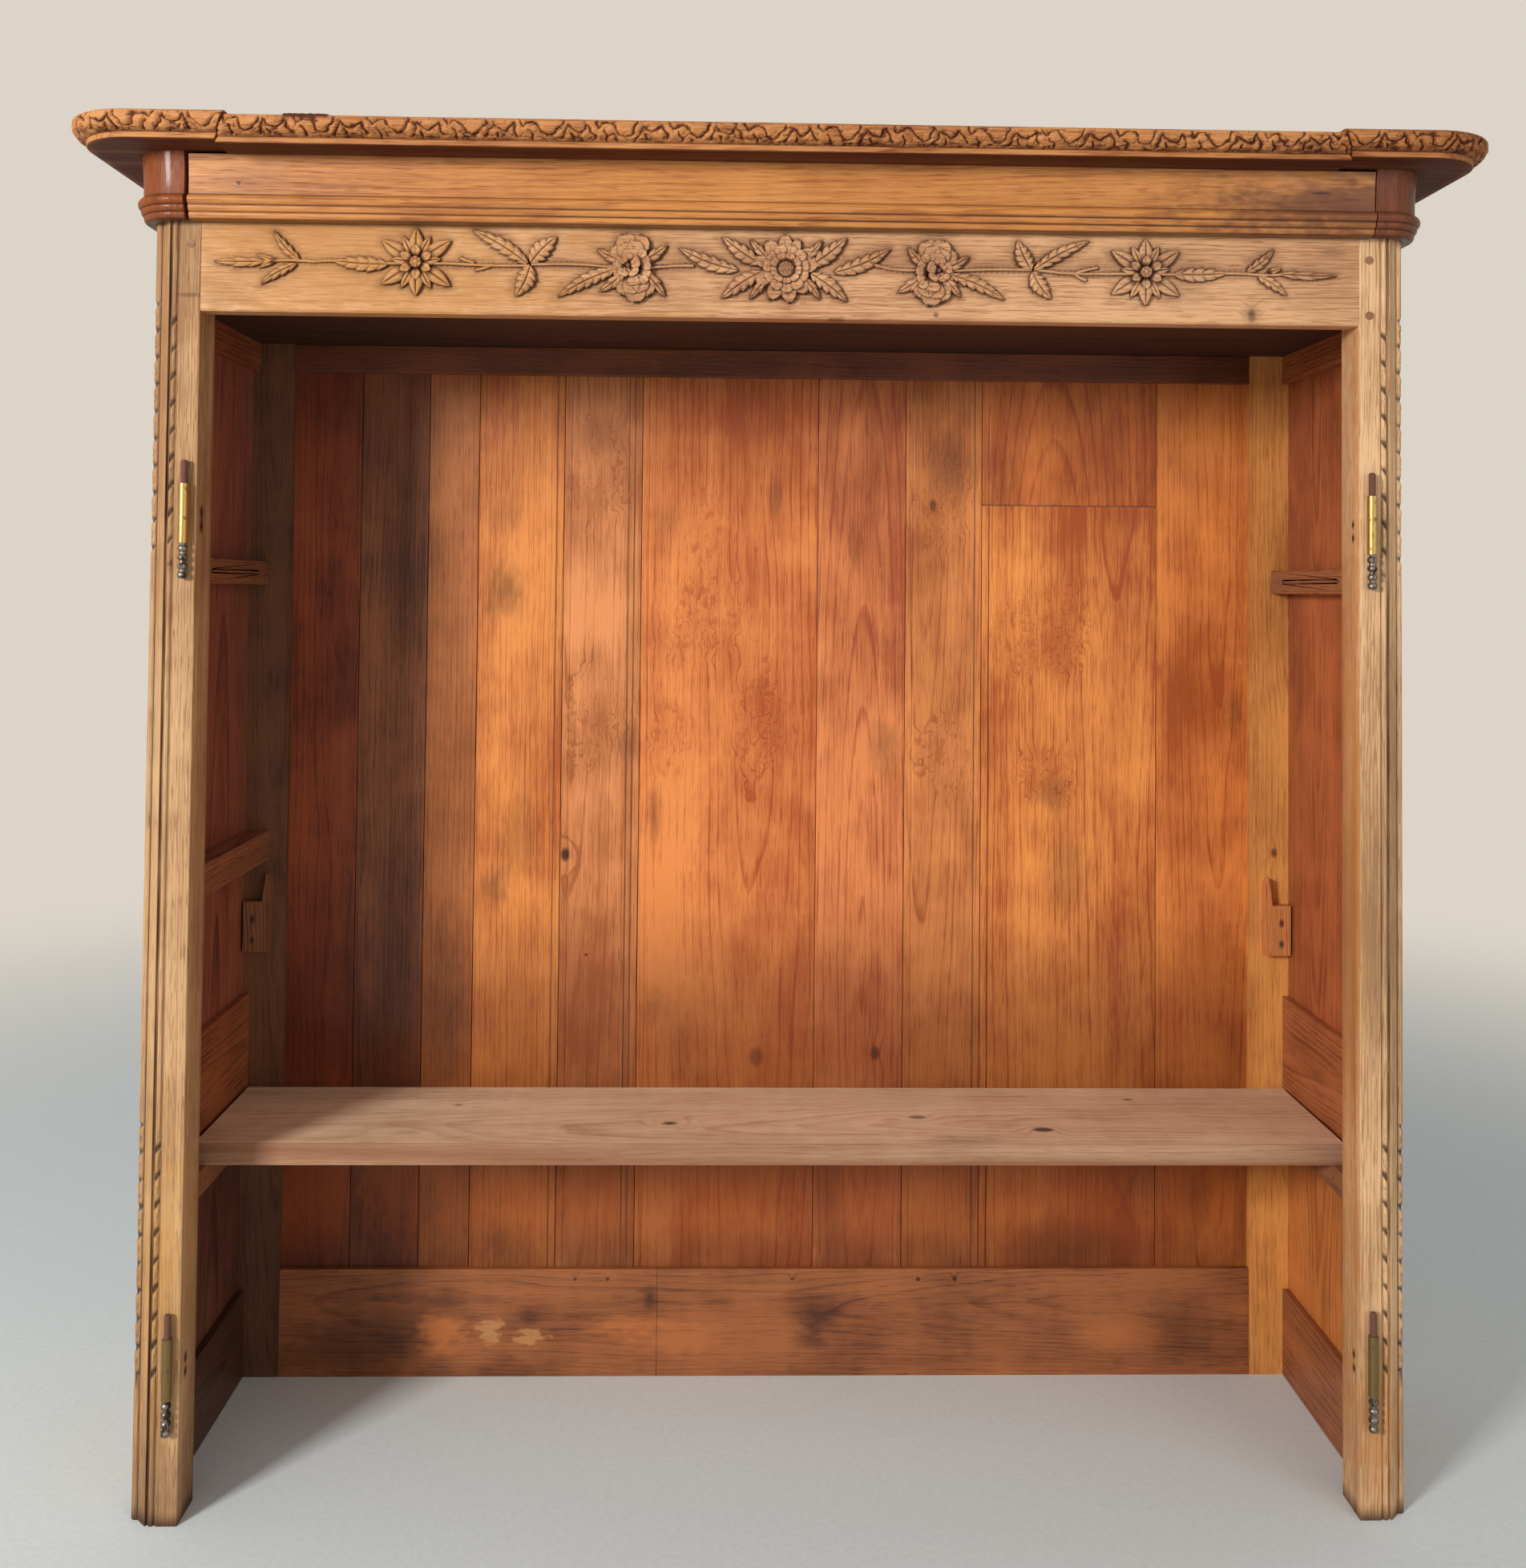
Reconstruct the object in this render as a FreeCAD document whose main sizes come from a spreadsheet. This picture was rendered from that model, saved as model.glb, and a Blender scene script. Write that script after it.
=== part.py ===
import FreeCAD, Part
import math
import operator
import os
from collections import namedtuple

import Sketcher

# Upper case of a two-body buffet: a frame-and-panel carcass that is open in front and below,
# a loose shelf, and a cornice that lifts off.
# Sizes are in millimetres. +Z is up, the front faces -Y, and the origin lies under the middle
# of the piece, on the surface that it stands on.

doc = FreeCAD.newDocument("buffet_upper_case")
sheet = doc.addObject("Spreadsheet::Sheet", "Sizes")
sub_parts = []

LEFT_AND_RIGHT = ((-1, "left"), (1, "right"))
OPERATIONS = {"+": operator.add, "-": operator.sub, "*": operator.mul, "/": operator.truediv}
CORNER_TURN = 90.0
FULL_TURN = 360.0
ALONG_X = FreeCAD.Rotation(FreeCAD.Vector(0, 0, 1), FreeCAD.Vector(1, 0, 0))
ALONG_Y = FreeCAD.Rotation(FreeCAD.Vector(0, 0, 1), FreeCAD.Vector(0, 1, 0))
UPRIGHT = FreeCAD.Rotation()


class Dim:
    """A length: its value in millimetres and the spreadsheet expression that it comes from."""

    def __init__(self, value, text):
        self.value = value
        self.text = text

    def joined(self, symbol, other, swapped=False):
        first, second = as_dim(self), as_dim(other)
        if swapped:
            first, second = second, first
        value = OPERATIONS[symbol](first.value, second.value)
        return Dim(value, f"({first.text} {symbol} {second.text})")

    def __add__(self, other):
        return self.joined("+", other)

    def __radd__(self, other):
        return self.joined("+", other, swapped=True)

    def __sub__(self, other):
        return self.joined("-", other)

    def __rsub__(self, other):
        return self.joined("-", other, swapped=True)

    def __mul__(self, other):
        return self.joined("*", other)

    def __rmul__(self, other):
        return self.joined("*", other, swapped=True)

    def __truediv__(self, other):
        return self.joined("/", other)

    def __neg__(self):
        return self.joined("*", -1)


def as_dim(size):
    """Give a plain number the same two faces as a Dim."""
    return size if isinstance(size, Dim) else Dim(float(size), str(size))


def driving(alias, value, note):
    """Enter one driving dimension in the next row of the sheet."""
    driving.row += 1
    sheet.set(f"A{driving.row}", note)
    sheet.set(f"B{driving.row}", str(value))
    sheet.setAlias(f"B{driving.row}", alias)
    return Dim(float(value), f"Sizes.{alias}")


driving.row = 0

# Driving dimensions of the carcass

opening_width = driving("opening_width", 1200, "clear width between the front stiles")
opening_top = driving("opening_top", 1227, "underside of the frieze rail")
carcass_top = driving("carcass_top", 1322, "top of the carcass, under the cornice")
case_depth = driving("case_depth", 318, "front face of the stiles to the back of the case")
stile_width = driving("stile_width", 48.5, "front stile, from the opening to the plane of the side")
stile_depth = driving("stile_depth", 45, "front stile, front to back")
stile_flat = driving("stile_flat", 22, "plain face of the stile beside the opening")
quirk_width = driving("quirk_width", 2.2, "groove beside the stile's plain face")
quirk_depth = driving("quirk_depth", 2, "depth of that groove")
reed_width = driving("reed_width", 5, "reed between that groove and the cant's groove")
cant_quirk = driving("cant_quirk", 2.8, "groove beside the canted corner")
cant_width = driving("cant_width", 11.5, "canted corner, across and in depth")
corner_round = driving("corner_round", 5.6, "round of the reed on the outer corner")
corner_reed_end = driving("corner_reed_end", 21.5, "back of that reed behind the stile's face")
frieze_thickness = driving("frieze_thickness", 24, "frieze rail, front to back")
rail_thickness = driving("rail_thickness", 22, "side rails")
rail_setback = driving("rail_setback", 0.5, "side rails behind the stile's outer side")
back_frame = driving("back_frame", 27, "back posts and back rails, front to back")
back_post_width = driving("back_post_width", 63, "back posts, across")
back_bottom_top = driving("back_bottom_top", 127, "top edge of the back's bottom rail")
back_top_under = driving("back_top_under", 1206, "lower edge of the back's top rail")
side_bottom_top = driving("side_bottom_top", 103, "top edge of a side's bottom rail")
side_middle_under = driving("side_middle_under", 345, "lower edge of a side's middle rail")
side_middle_top = driving("side_middle_top", 456, "top edge of a side's middle rail")
tenon_thickness = driving("tenon_thickness", 9, "tenons")
tenon_length = driving("tenon_length", 28, "tenons in the front stiles and back rails")
post_tenon_length = driving("post_tenon_length", 20, "tenons in the back posts")
tenon_shoulder = driving("tenon_shoulder", 10, "shoulder above and below a tenon")
groove_depth = driving("groove_depth", 8, "grooves that hold panels and boards")
tongue_length = driving("tongue_length", 7.5, "what a panel or board puts into a groove")
joint_gap = driving("joint_gap", 0.2, "play in joints and grooves")
panel_inset = driving("panel_inset", 8, "panel behind the inner face of the rails")
panel_edge = driving("panel_edge", 8, "panel thickness at its edge")
panel_field = driving("panel_field", 6, "rise of the panel's raised field")
panel_bevel = driving("panel_bevel", 30, "width of the panel's bevel")
board_thickness = driving("board_thickness", 14, "back boards")
board_gap = driving("board_gap", 0.8, "open joint between two back boards")
board_tongue = driving("board_tongue", 5, "tongue of a back board")
board_splice = driving("board_splice", 1053, "height of the splice in the ninth back board")
bead_inset = driving("bead_inset", 9, "bead line beside a board's edge")
bead_groove = driving("bead_groove", 1.2, "depth and half width of a bead line")
ceiling_under = driving("ceiling_under", 1240, "underside of the ceiling boards")
ceiling_thickness = driving("ceiling_thickness", 12, "ceiling boards")

BOARD_WIDTHS = (81, 82, 61, 104, 95, 216, 108, 94, 216, 113)
BEADED_BOARDS = (5, 6, 8, 9)
SPLICED_BOARD = 9
board_widths = [
    driving(f"board_width_{number}", width, f"back board {number} from the left")
    for number, width in enumerate(BOARD_WIDTHS, start=1)
]

# Driving dimensions of the cleats, blocks, shelf and fasteners

cleat_back_gap = driving("cleat_back_gap", 0.2, "cleats clear of the side panels")
upper_cleat_under = driving("upper_cleat_under", 947, "underside of the upper cleats")
upper_cleat_height = driving("upper_cleat_height", 28, "upper cleats")
upper_cleat_width = driving("upper_cleat_width", 22, "upper cleats, out from the panel")
middle_cleat_under = driving("middle_cleat_under", 616, "underside of the middle cleat")
middle_cleat_height = driving("middle_cleat_height", 35, "middle cleat")
lower_cleat_height = driving("lower_cleat_height", 26, "lower cleats")
wide_cleat_width = driving("wide_cleat_width", 28, "middle and lower cleats, out from the panel")
cleat_nail_inset = driving("cleat_nail_inset", 40, "cleat nails from the cleat's ends")
cleat_nail_length = driving("cleat_nail_length", 26, "cleat nails")
cleat_nail_radius = driving("cleat_nail_radius", 1.6, "cleat nails")
block_width = driving("block_width", 31, "shelf blocks, across")
block_height = driving("block_height", 60, "shelf blocks below the notch")
block_thickness = driving("block_thickness", 15, "shelf blocks, front to back")
block_reach = driving("block_reach", 600, "inner edge of the shelf blocks from the middle")
block_under = driving("block_under", 508, "underside of the shelf blocks")
prong_width = driving("prong_width", 9, "prong that closes the notch of a shelf block")
prong_rise = driving("prong_rise", 33, "prong above the notch")
prong_drop = driving("prong_drop", 9, "slope of the prong's tip")
block_nail_low = driving("block_nail_low", 14, "lower nail above the block's underside")
block_nail_pitch = driving("block_nail_pitch", 25, "upper nail above the lower one")
block_nail_radius = driving("block_nail_radius", 2.4, "forged nails of the blocks")
block_nail_sink = driving("block_nail_sink", 1.5, "nail heads below the block's face")
block_nail_length = driving("block_nail_length", 30, "forged nails of the blocks")
shelf_width = driving("shelf_width", 1240, "shelf plank, end to end")
shelf_depth = driving("shelf_depth", 187, "shelf plank, front to back")
shelf_thickness = driving("shelf_thickness", 22.5, "shelf plank")
shelf_top = driving("shelf_top", 350, "top of the shelf")
shelf_setback = driving("shelf_setback", 85, "front edge of the shelf behind the stile's face")
peg_radius = driving("peg_radius", 4.3, "draw pegs")
peg_length = driving("peg_length", 30, "draw pegs")
peg_proud = driving("peg_proud", 0.5, "draw pegs in front of the stile's face")
peg_offset = driving("peg_offset", 11, "draw pegs from the edge of the opening")
peg_upper = driving("peg_upper", 1296, "height of the upper draw pegs")
peg_lower = driving("peg_lower", 1238, "height of the lower draw peg")
fastener_gap = driving("fastener_gap", 0.1, "play around pegs and nails")

# Driving dimensions of the hinges

hinge_offset = driving("hinge_offset", 11, "hinge axis from the edge of the opening")
hinge_forward = driving("hinge_forward", 6, "hinge axis in front of the stile's face")
upper_knuckle = driving("upper_knuckle", 988, "lower end of the upper knuckles")
lower_knuckle = driving("lower_knuckle", 128, "lower end of the lower knuckles")
knuckle_length = driving("knuckle_length", 61, "knuckles")
knuckle_radius = driving("knuckle_radius", 5, "knuckles, outside")
leaf_thickness = driving("leaf_thickness", 2, "hinge leaves")
leaf_depth = driving("leaf_depth", 28, "hinge leaves behind the stile's face")
leaf_nail_depth = driving("leaf_nail_depth", 16, "leaf nails behind the stile's face")
leaf_nail_low = driving("leaf_nail_low", 18, "lower leaf nail above the knuckle's end")
leaf_nail_pitch = driving("leaf_nail_pitch", 14, "upper leaf nail above the lower one")
leaf_nail_radius = driving("leaf_nail_radius", 1.5, "leaf nails")
leaf_nail_length = driving("leaf_nail_length", 24, "leaf nails")
core_radius = driving("core_radius", 3, "pin inside the knuckle")
pin_radius = driving("pin_radius", 3.5, "free end of the pin")
pin_length = driving("pin_length", 22, "free end of the pin")
pin_tip = driving("pin_tip", 2, "tapered tip of the pin")
pin_play = driving("pin_play", 0.05, "play of the pin in the knuckle")
finial_length = driving("finial_length", 36, "turned finial under the knuckle")
finial_ring = driving("finial_ring", 7, "height of a ring of the finial")
finial_bulge = driving("finial_bulge", 2, "rise of a ring of the finial")
FINIAL_RINGS = 4

# Driving dimensions of the cornice

frieze_height = driving("frieze_height", 64.5, "corner blocks of the cornice frieze above the carcass")
frieze_body = driving("frieze_body", 10, "cornice frieze behind the stile's face")
frieze_lip = driving("frieze_lip", 4, "lip that hangs in front of the carcass")
lip_gap = driving("lip_gap", 0.5, "lip clear of the carcass")
corner_lip_gap = driving("corner_lip_gap", 5, "lip of a corner block clear of the corner reed")
reed_foot = driving("reed_foot", 14, "foot of the frieze reeds in front of the stile's face")
reed_low_cusp = driving("reed_low_cusp", 17, "lower quirk of the frieze reeds, same measure")
reed_high_cusp = driving("reed_high_cusp", 20, "upper quirk of the frieze reeds, same measure")
frieze_waist = driving("frieze_waist", 18, "waist above the reeds, same measure")
frieze_flare = driving("frieze_flare", 20.5, "top of the hollow, same measure")
low_reed = driving("low_reed", 7, "height of the lowest frieze reed")
middle_reed = driving("middle_reed", 6.8, "height of the middle frieze reed")
high_reed = driving("high_reed", 11, "height of the top frieze reed")
reed_radius = driving("reed_radius", 5.8, "round of the frieze reeds")
hollow_radius = driving("hollow_radius", 240, "hollow of the frieze")
frieze_seam = driving("frieze_seam", 610, "seam of the corner blocks from the middle")
frieze_gap_left = driving("frieze_gap_left", 4.5, "open seam at the left block")
frieze_gap_right = driving("frieze_gap_right", 1.5, "open seam at the right block")
block_radius = driving("block_radius", 43, "rounded corner block, at the waist")
crown_reach = driving("crown_reach", 78, "crown in front of the stile's face")
crown_fillet = driving("crown_fillet", 64, "fillet of the crown in front of the stile's face")
crown_height = driving("crown_height", 25, "crown")
crown_fillet_height = driving("crown_fillet_height", 5.5, "fillet of the crown")
crown_quirk = driving("crown_quirk", 1.5, "step above the fillet")
crown_lip_rise = driving("crown_lip_rise", 18.5, "lower edge of the lip above the soffit")
crown_lip_height = driving("crown_lip_height", 4, "upright lip of the crown")
crown_round = driving("crown_round", 16, "round of the carved edge")
crown_edge = driving("crown_edge", 3, "eased top edge of the crown")
crown_inside = driving("crown_inside", 4, "inner edge of the crown in front of the stile's face")
crown_step = driving("crown_step", 3, "front of the cornice lower than its corner pieces")
crown_draw = driving("crown_draw", 2, "front of the crown behind its corner pieces")
crown_seam = driving("crown_seam", 563, "seam of the crown corners from the middle")
crown_gap = driving("crown_gap", 0.8, "open seam in the crown")
dust_thickness = driving("dust_thickness", 12, "dust boards")
cornice_back = driving("cornice_back", 18, "back rail of the cornice, front to back")
doc.recompute()

# Planes and lines that follow from the driving dimensions

half_opening = opening_width / 2
side_x = half_opening + stile_width
face_y = (crown_reach - case_depth) / 2
back_y = face_y + case_depth
stile_back = face_y + stile_depth
post_front = back_y - back_frame
rail_outer = side_x - rail_setback
rail_inner = rail_outer - rail_thickness
post_inner = rail_outer - back_post_width
panel_inner = rail_inner + panel_inset
panel_outer = panel_inner + panel_edge
tenon_x = rail_inner + (rail_thickness - tenon_thickness) / 2
board_front = post_front + groove_depth
shelf_under = shelf_top - shelf_thickness
soffit = carcass_top + frieze_height
hinge_x = half_opening + hinge_offset
hinge_y = face_y - hinge_forward
shelf_front = face_y + shelf_setback

Corner = namedtuple("Corner", "x y radius side")
OUTWARD, INWARD = -1, 1


def corner(x, y, radius=None, side=None):
    """A corner of an outline. With a radius, an arc leads from it to the next corner."""
    return Corner(as_dim(x), as_dim(y), None if radius is None else as_dim(radius), side)


def mirrored(outline):
    """The same outline on the other side of the sketch's upright axis."""
    return [Corner(-c.x, c.y, c.radius, None if c.side is None else -c.side) for c in outline]


def bind(target, path, size):
    """Let a property of an object follow the sheet."""
    target.setExpression(path, as_dim(size).text)


def arc_between(start, end, radius, side):
    """A minor arc that bulges to the left (1) or the right (-1) of the way from start to end."""
    chord = end - start
    middle = (start + end) * 0.5
    rise = math.sqrt(radius ** 2 - (chord.Length / 2) ** 2)
    normal = FreeCAD.Vector(chord.y, -chord.x, 0).normalize()
    centre = middle + normal * rise * side
    first, last = (end, start) if side > 0 else (start, end)
    angles = [math.atan2(point.y - centre.y, point.x - centre.x) for point in (first, last)]
    if angles[1] < angles[0]:
        angles[1] += 2 * math.pi
    circle = Part.Circle(centre, FreeCAD.Vector(0, 0, 1), radius)
    return Part.ArcOfCircle(circle, angles[0], angles[1])


def hold(sketch, kind, edge, end, size, name):
    """Hold one coordinate of an edge's end to the sheet."""
    if size.value == 0:
        axis = -2 if kind == "DistanceX" else -1
        sketch.addConstraint(Sketcher.Constraint("PointOnObject", edge, end, axis))
        return
    number = sketch.addConstraint(Sketcher.Constraint(kind, -1, 1, edge, end, size.value))
    sketch.renameConstraint(number, name)
    bind(sketch, f"Constraints.{name}", size)


def draw(sketch, outline):
    """Draw a closed loop of lines and arcs whose corners are held to the sheet."""
    points = [FreeCAD.Vector(c.x.value, c.y.value, 0) for c in outline]
    ends = []
    for number, (c, start) in enumerate(zip(outline, points)):
        end = points[(number + 1) % len(points)]
        if c.radius is None:
            sketch.addGeometry(Part.LineSegment(start, end))
        else:
            sketch.addGeometry(arc_between(start, end, c.radius.value, c.side))
        ends.append((2, 1) if c.side == 1 else (1, 2))
    for number, c in enumerate(outline):
        following = (number + 1) % len(outline)
        meeting = Sketcher.Constraint(
            "Coincident", number, ends[number][1], following, ends[following][0])
        sketch.addConstraint(meeting)
        hold(sketch, "DistanceX", number, ends[number][0], c.x, f"across_{number}")
        hold(sketch, "DistanceY", number, ends[number][0], c.y, f"along_{number}")
        if c.radius is not None:
            bend = sketch.addConstraint(Sketcher.Constraint("Radius", number, c.radius.value))
            sketch.renameConstraint(bend, f"round_{number}")
            bind(sketch, f"Constraints.round_{number}", c.radius)


def origin_feature(body, role):
    """One of a body's own origin planes or axes."""
    return next(item for item in body.Origin.OriginFeatures if item.Role == role)


def new_body(name, x=0, y=0, z=0):
    """An empty body at a place that follows the sheet."""
    body = doc.addObject("PartDesign::Body", name)
    for axis, place in zip("xyz", (x, y, z)):
        bind(body, f"Placement.Base.{axis}", place)
    return body


def new_sketch(body, role, outline, name):
    """A sketch of an outline on one of the body's origin planes."""
    sketch = body.newObject("Sketcher::SketchObject", name)
    sketch.AttachmentSupport = (origin_feature(body, role), [""])
    sketch.MapMode = "FlatFace"
    draw(sketch, outline)
    return sketch


def pad(body, sketch, length, reverse=False):
    """Pad a sketch along its plane's normal, or against it."""
    feature = body.newObject("PartDesign::Pad", f"{body.Name}_pad")
    feature.Profile = sketch
    feature.Reversed = reverse
    bind(feature, "Length", length)


def revolve(body, sketch, angle, reverse=False):
    """Turn a sketch about the body's upright axis."""
    feature = body.newObject("PartDesign::Revolution", f"{body.Name}_turning")
    feature.Profile = sketch
    feature.ReferenceAxis = (origin_feature(body, "Z_Axis"), [""])
    feature.Angle = angle
    feature.Reversed = reverse


def prism(name, role, outline, length, place, reverse=False):
    """A body made by padding one outline."""
    body = new_body(name, *place)
    pad(body, new_sketch(body, role, outline, f"{name}_outline"), length, reverse)
    return body


def box(name, x, y, z):
    """A box between two planes on each axis."""
    solid = doc.addObject("Part::Box", name)
    for size, axis, (low, high) in zip(("Length", "Width", "Height"), "xyz", (x, y, z)):
        bind(solid, size, high - low)
        bind(solid, f"Placement.Base.{axis}", low)
    return solid


def rod(name, radius, length, start, turn):
    """A round bar from a start point, along the axis that the turn gives."""
    solid = doc.addObject("Part::Cylinder", name)
    solid.Placement = FreeCAD.Placement(FreeCAD.Vector(), turn)
    bind(solid, "Radius", radius)
    bind(solid, "Height", length)
    for axis, place in zip("xyz", start):
        bind(solid, f"Placement.Base.{axis}", place)
    return solid


def fused(name, solids):
    """One solid out of several that meet."""
    joined = doc.addObject("Part::MultiFuse", name)
    joined.Shapes = solids
    joined.Refine = True
    return joined


def cut(name, solid, cutters):
    """A solid with every cutter taken out of it."""
    result = doc.addObject("Part::Cut", name)
    result.Base = solid
    result.Tool = cutters[0] if len(cutters) == 1 else fused(f"{name}_cutters", cutters)
    result.Refine = True
    return result


def group(name, solids):
    """Separate solids that share one node."""
    compound = doc.addObject("Part::Compound", name)
    compound.Links = solids
    return compound


def keep(label, item):
    """Give a finished sub-part its label and list it."""
    item.Label = label
    sub_parts.append(item)


def sided(hand, low, high):
    """A span on the right side, or its mirror image on the left."""
    return (low, high) if hand > 0 else (-high, -low)


def widened(span, margin):
    """A span with some play at both ends."""
    return (span[0] - margin, span[1] + margin)


# Rails of the two sides: label, lower edge, upper edge

SIDE_RAILS = (
    ("side_bottom_rail", as_dim(0), side_bottom_top),
    ("side_middle_rail", side_middle_under, side_middle_top),
    ("side_top_rail", back_top_under, carcass_top),
)
SIDE_PANELS = (
    ("side_lower_panel", side_bottom_top, side_middle_under),
    ("side_upper_panel", side_middle_top, back_top_under),
)
ceiling_span = (ceiling_under, ceiling_under + ceiling_thickness)
ceiling_groove = widened(ceiling_span, joint_gap)
panel_groove_x = (panel_inner - joint_gap, panel_outer + panel_field / 3)
board_groove_y = widened((board_front, board_front + board_thickness), joint_gap)
back_tenon_y = (board_front + 1, board_front + 1 + tenon_thickness)


def tenon_height(low, high):
    """The height of a rail's tenon, between its shoulders."""
    return (low + tenon_shoulder, high - tenon_shoulder)


def panel_height(low, high):
    """The height of a panel with its tongues."""
    return (low - tongue_length, high + tongue_length)


def side_mortises(name, hand, near, far):
    """Mortises and panel grooves for one side's rails, in a stile or in a back post."""
    cutters = []
    for label, low, high in SIDE_RAILS:
        cutters.append(box(
            f"{name}_{label}_mortise",
            widened(sided(hand, tenon_x, tenon_x + tenon_thickness), joint_gap),
            near,
            widened(tenon_height(low, high), joint_gap)))
    for label, low, high in SIDE_PANELS:
        cutters.append(box(
            f"{name}_{label}_groove",
            sided(hand, *panel_groove_x),
            far,
            widened(panel_height(low, high), joint_gap)))
    return cutters


# Pegs, nails and hinges need holes, so their places come first

PEGS = (("upper_left", -1, peg_upper), ("upper_right", 1, peg_upper), ("lower_right", 1, peg_lower))
KNUCKLES = (("upper", upper_knuckle), ("lower", lower_knuckle))
LEAF_NAILS = (leaf_nail_low, leaf_nail_low + leaf_nail_pitch)
BLOCK_NAILS = (block_nail_low, block_nail_low + block_nail_pitch)

Cleat = namedtuple("Cleat", "label hand width low high")
CLEATS = [
    Cleat(f"upper_cleat_{side}", hand, upper_cleat_width,
          upper_cleat_under, upper_cleat_under + upper_cleat_height)
    for hand, side in LEFT_AND_RIGHT
] + [
    Cleat(f"lower_cleat_{side}", hand, wide_cleat_width,
          shelf_under - lower_cleat_height, shelf_under)
    for hand, side in LEFT_AND_RIGHT
] + [
    Cleat("middle_cleat_left", -1, wide_cleat_width,
          middle_cleat_under, middle_cleat_under + middle_cleat_height)
]


def leaf_nail(name, hand, bottom, margin):
    """A nail across a hinge leaf, from the stile's inner side, or its hole."""
    start_x = sided(hand, half_opening, half_opening + leaf_nail_length)[0]
    start = (start_x, face_y + leaf_nail_depth, bottom)
    return rod(name, leaf_nail_radius + margin, leaf_nail_length, start, ALONG_X)


def cleat_nails(prefix, cleat, margin):
    """The two nails of a cleat, or their holes."""
    near = panel_inner - cleat_back_gap - cleat.width
    start_x = sided(cleat.hand, near, near + cleat_nail_length)[0]
    height = (cleat.low + cleat.high) / 2
    places = (stile_back + cleat_nail_inset, post_front - cleat_nail_inset)
    return [
        rod(f"{prefix}_{cleat.label}_{number}", cleat_nail_radius + margin, cleat_nail_length,
            (start_x, place, height), ALONG_X)
        for number, place in enumerate(places, start=1)
    ]


def block_nails(prefix, hand, side, margin):
    """The two nails of a shelf block, or their holes."""
    middle = block_reach + (block_width + prong_width) / 2
    depth = post_front - block_thickness + block_nail_sink
    return [
        rod(f"{prefix}_block_{side}_{number}", block_nail_radius + margin, block_nail_length,
            (hand * middle, depth, block_under + height), ALONG_Y)
        for number, height in enumerate(BLOCK_NAILS, start=1)
    ]


def peg(name, hand, height, margin):
    """A draw peg, or its hole."""
    start = (hand * (half_opening + peg_offset), face_y - peg_proud, height)
    return rod(name, peg_radius + margin, peg_length, start, ALONG_Y)


# Front stiles

def stile_outline():
    """Section of the right stile: plain face, reed, canted corner, corner reed, plain side."""
    reed_rise = reed_width * reed_width / (quirk_depth * 8) + quirk_depth / 2
    reed_start = half_opening + stile_flat + quirk_width
    reed_end = reed_start + reed_width
    cant_start = reed_end + cant_quirk
    return [
        corner(half_opening, 0),
        corner(half_opening + stile_flat, 0),
        corner(half_opening + stile_flat, quirk_depth),
        corner(reed_start, quirk_depth, reed_rise, OUTWARD),
        corner(reed_end, quirk_depth),
        corner(cant_start, quirk_depth),
        corner(cant_start, 0),
        corner(cant_start + cant_width, cant_width, corner_round, OUTWARD),
        corner(side_x, corner_reed_end),
        corner(side_x, stile_depth),
        corner(half_opening, stile_depth),
    ]


def front_stile(hand, side):
    """A front stile with its mortises, grooves, hinge slots and holes."""
    name = f"front_stile_{side}"
    outline = stile_outline() if hand > 0 else mirrored(stile_outline())
    blank = prism(f"{name}_blank", "XY_Plane", outline, carcass_top, (0, face_y, 0))
    cutters = side_mortises(
        name, hand,
        (stile_back - tenon_length - joint_gap, stile_back),
        (stile_back - groove_depth, stile_back))
    cutters.append(box(
        f"{name}_frieze_mortise",
        sided(hand, half_opening, half_opening + tenon_length + joint_gap),
        widened((face_y + groove_depth, face_y + groove_depth + tenon_thickness), joint_gap),
        widened(tenon_height(opening_top, carcass_top), joint_gap)))
    for label, bottom in KNUCKLES:
        cutters.append(box(
            f"{name}_{label}_slot",
            widened(sided(hand, hinge_x - leaf_thickness / 2, hinge_x + leaf_thickness / 2), joint_gap),
            (face_y, face_y + leaf_depth + joint_gap),
            widened((bottom, bottom + knuckle_length), joint_gap)))
        for height in LEAF_NAILS:
            cutters.append(leaf_nail(f"{name}_{label}_hole", hand, bottom + height, fastener_gap))
    cutters += [
        peg(f"{name}_{label}_hole", hand, height, fastener_gap)
        for label, peg_hand, height in PEGS if peg_hand == hand
    ]
    keep(name, cut(name, blank, cutters))


# Rails, back posts and ceiling

def frieze_rail():
    """The rail over the opening, with its tenons, ceiling groove and peg holes."""
    y = (face_y, face_y + frieze_thickness)
    tenon_y = (face_y + groove_depth, face_y + groove_depth + tenon_thickness)
    reach = half_opening + tenon_length
    blank = fused("frieze_rail_blank", [
        box("frieze_rail_plank", (-half_opening, half_opening), y, (opening_top, carcass_top)),
        box("frieze_rail_tenons", (-reach, reach), tenon_y, tenon_height(opening_top, carcass_top)),
    ])
    cutters = [box(
        "frieze_rail_groove", (-half_opening, half_opening),
        (y[1] - groove_depth, y[1]), ceiling_groove)]
    cutters += [peg(f"frieze_rail_{label}_hole", hand, height, fastener_gap) for label, hand, height in PEGS]
    keep("frieze_rail", cut("frieze_rail", blank, cutters))


def back_rail(name, low, high, groove_z, with_ceiling):
    """A rail of the back, with its tenons and board groove."""
    reach = post_inner + tenon_length
    blank = fused(f"{name}_blank", [
        box(f"{name}_plank", (-post_inner, post_inner), (post_front, back_y), (low, high)),
        box(f"{name}_tenons", (-reach, reach), back_tenon_y, tenon_height(low, high)),
    ])
    cutters = [box(f"{name}_groove", (-post_inner, post_inner), board_groove_y, groove_z)]
    if with_ceiling:
        cutters.append(box(
            f"{name}_ceiling_groove", (-post_inner, post_inner),
            (post_front, post_front + groove_depth), ceiling_groove))
    keep(name, cut(name, blank, cutters))


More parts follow.
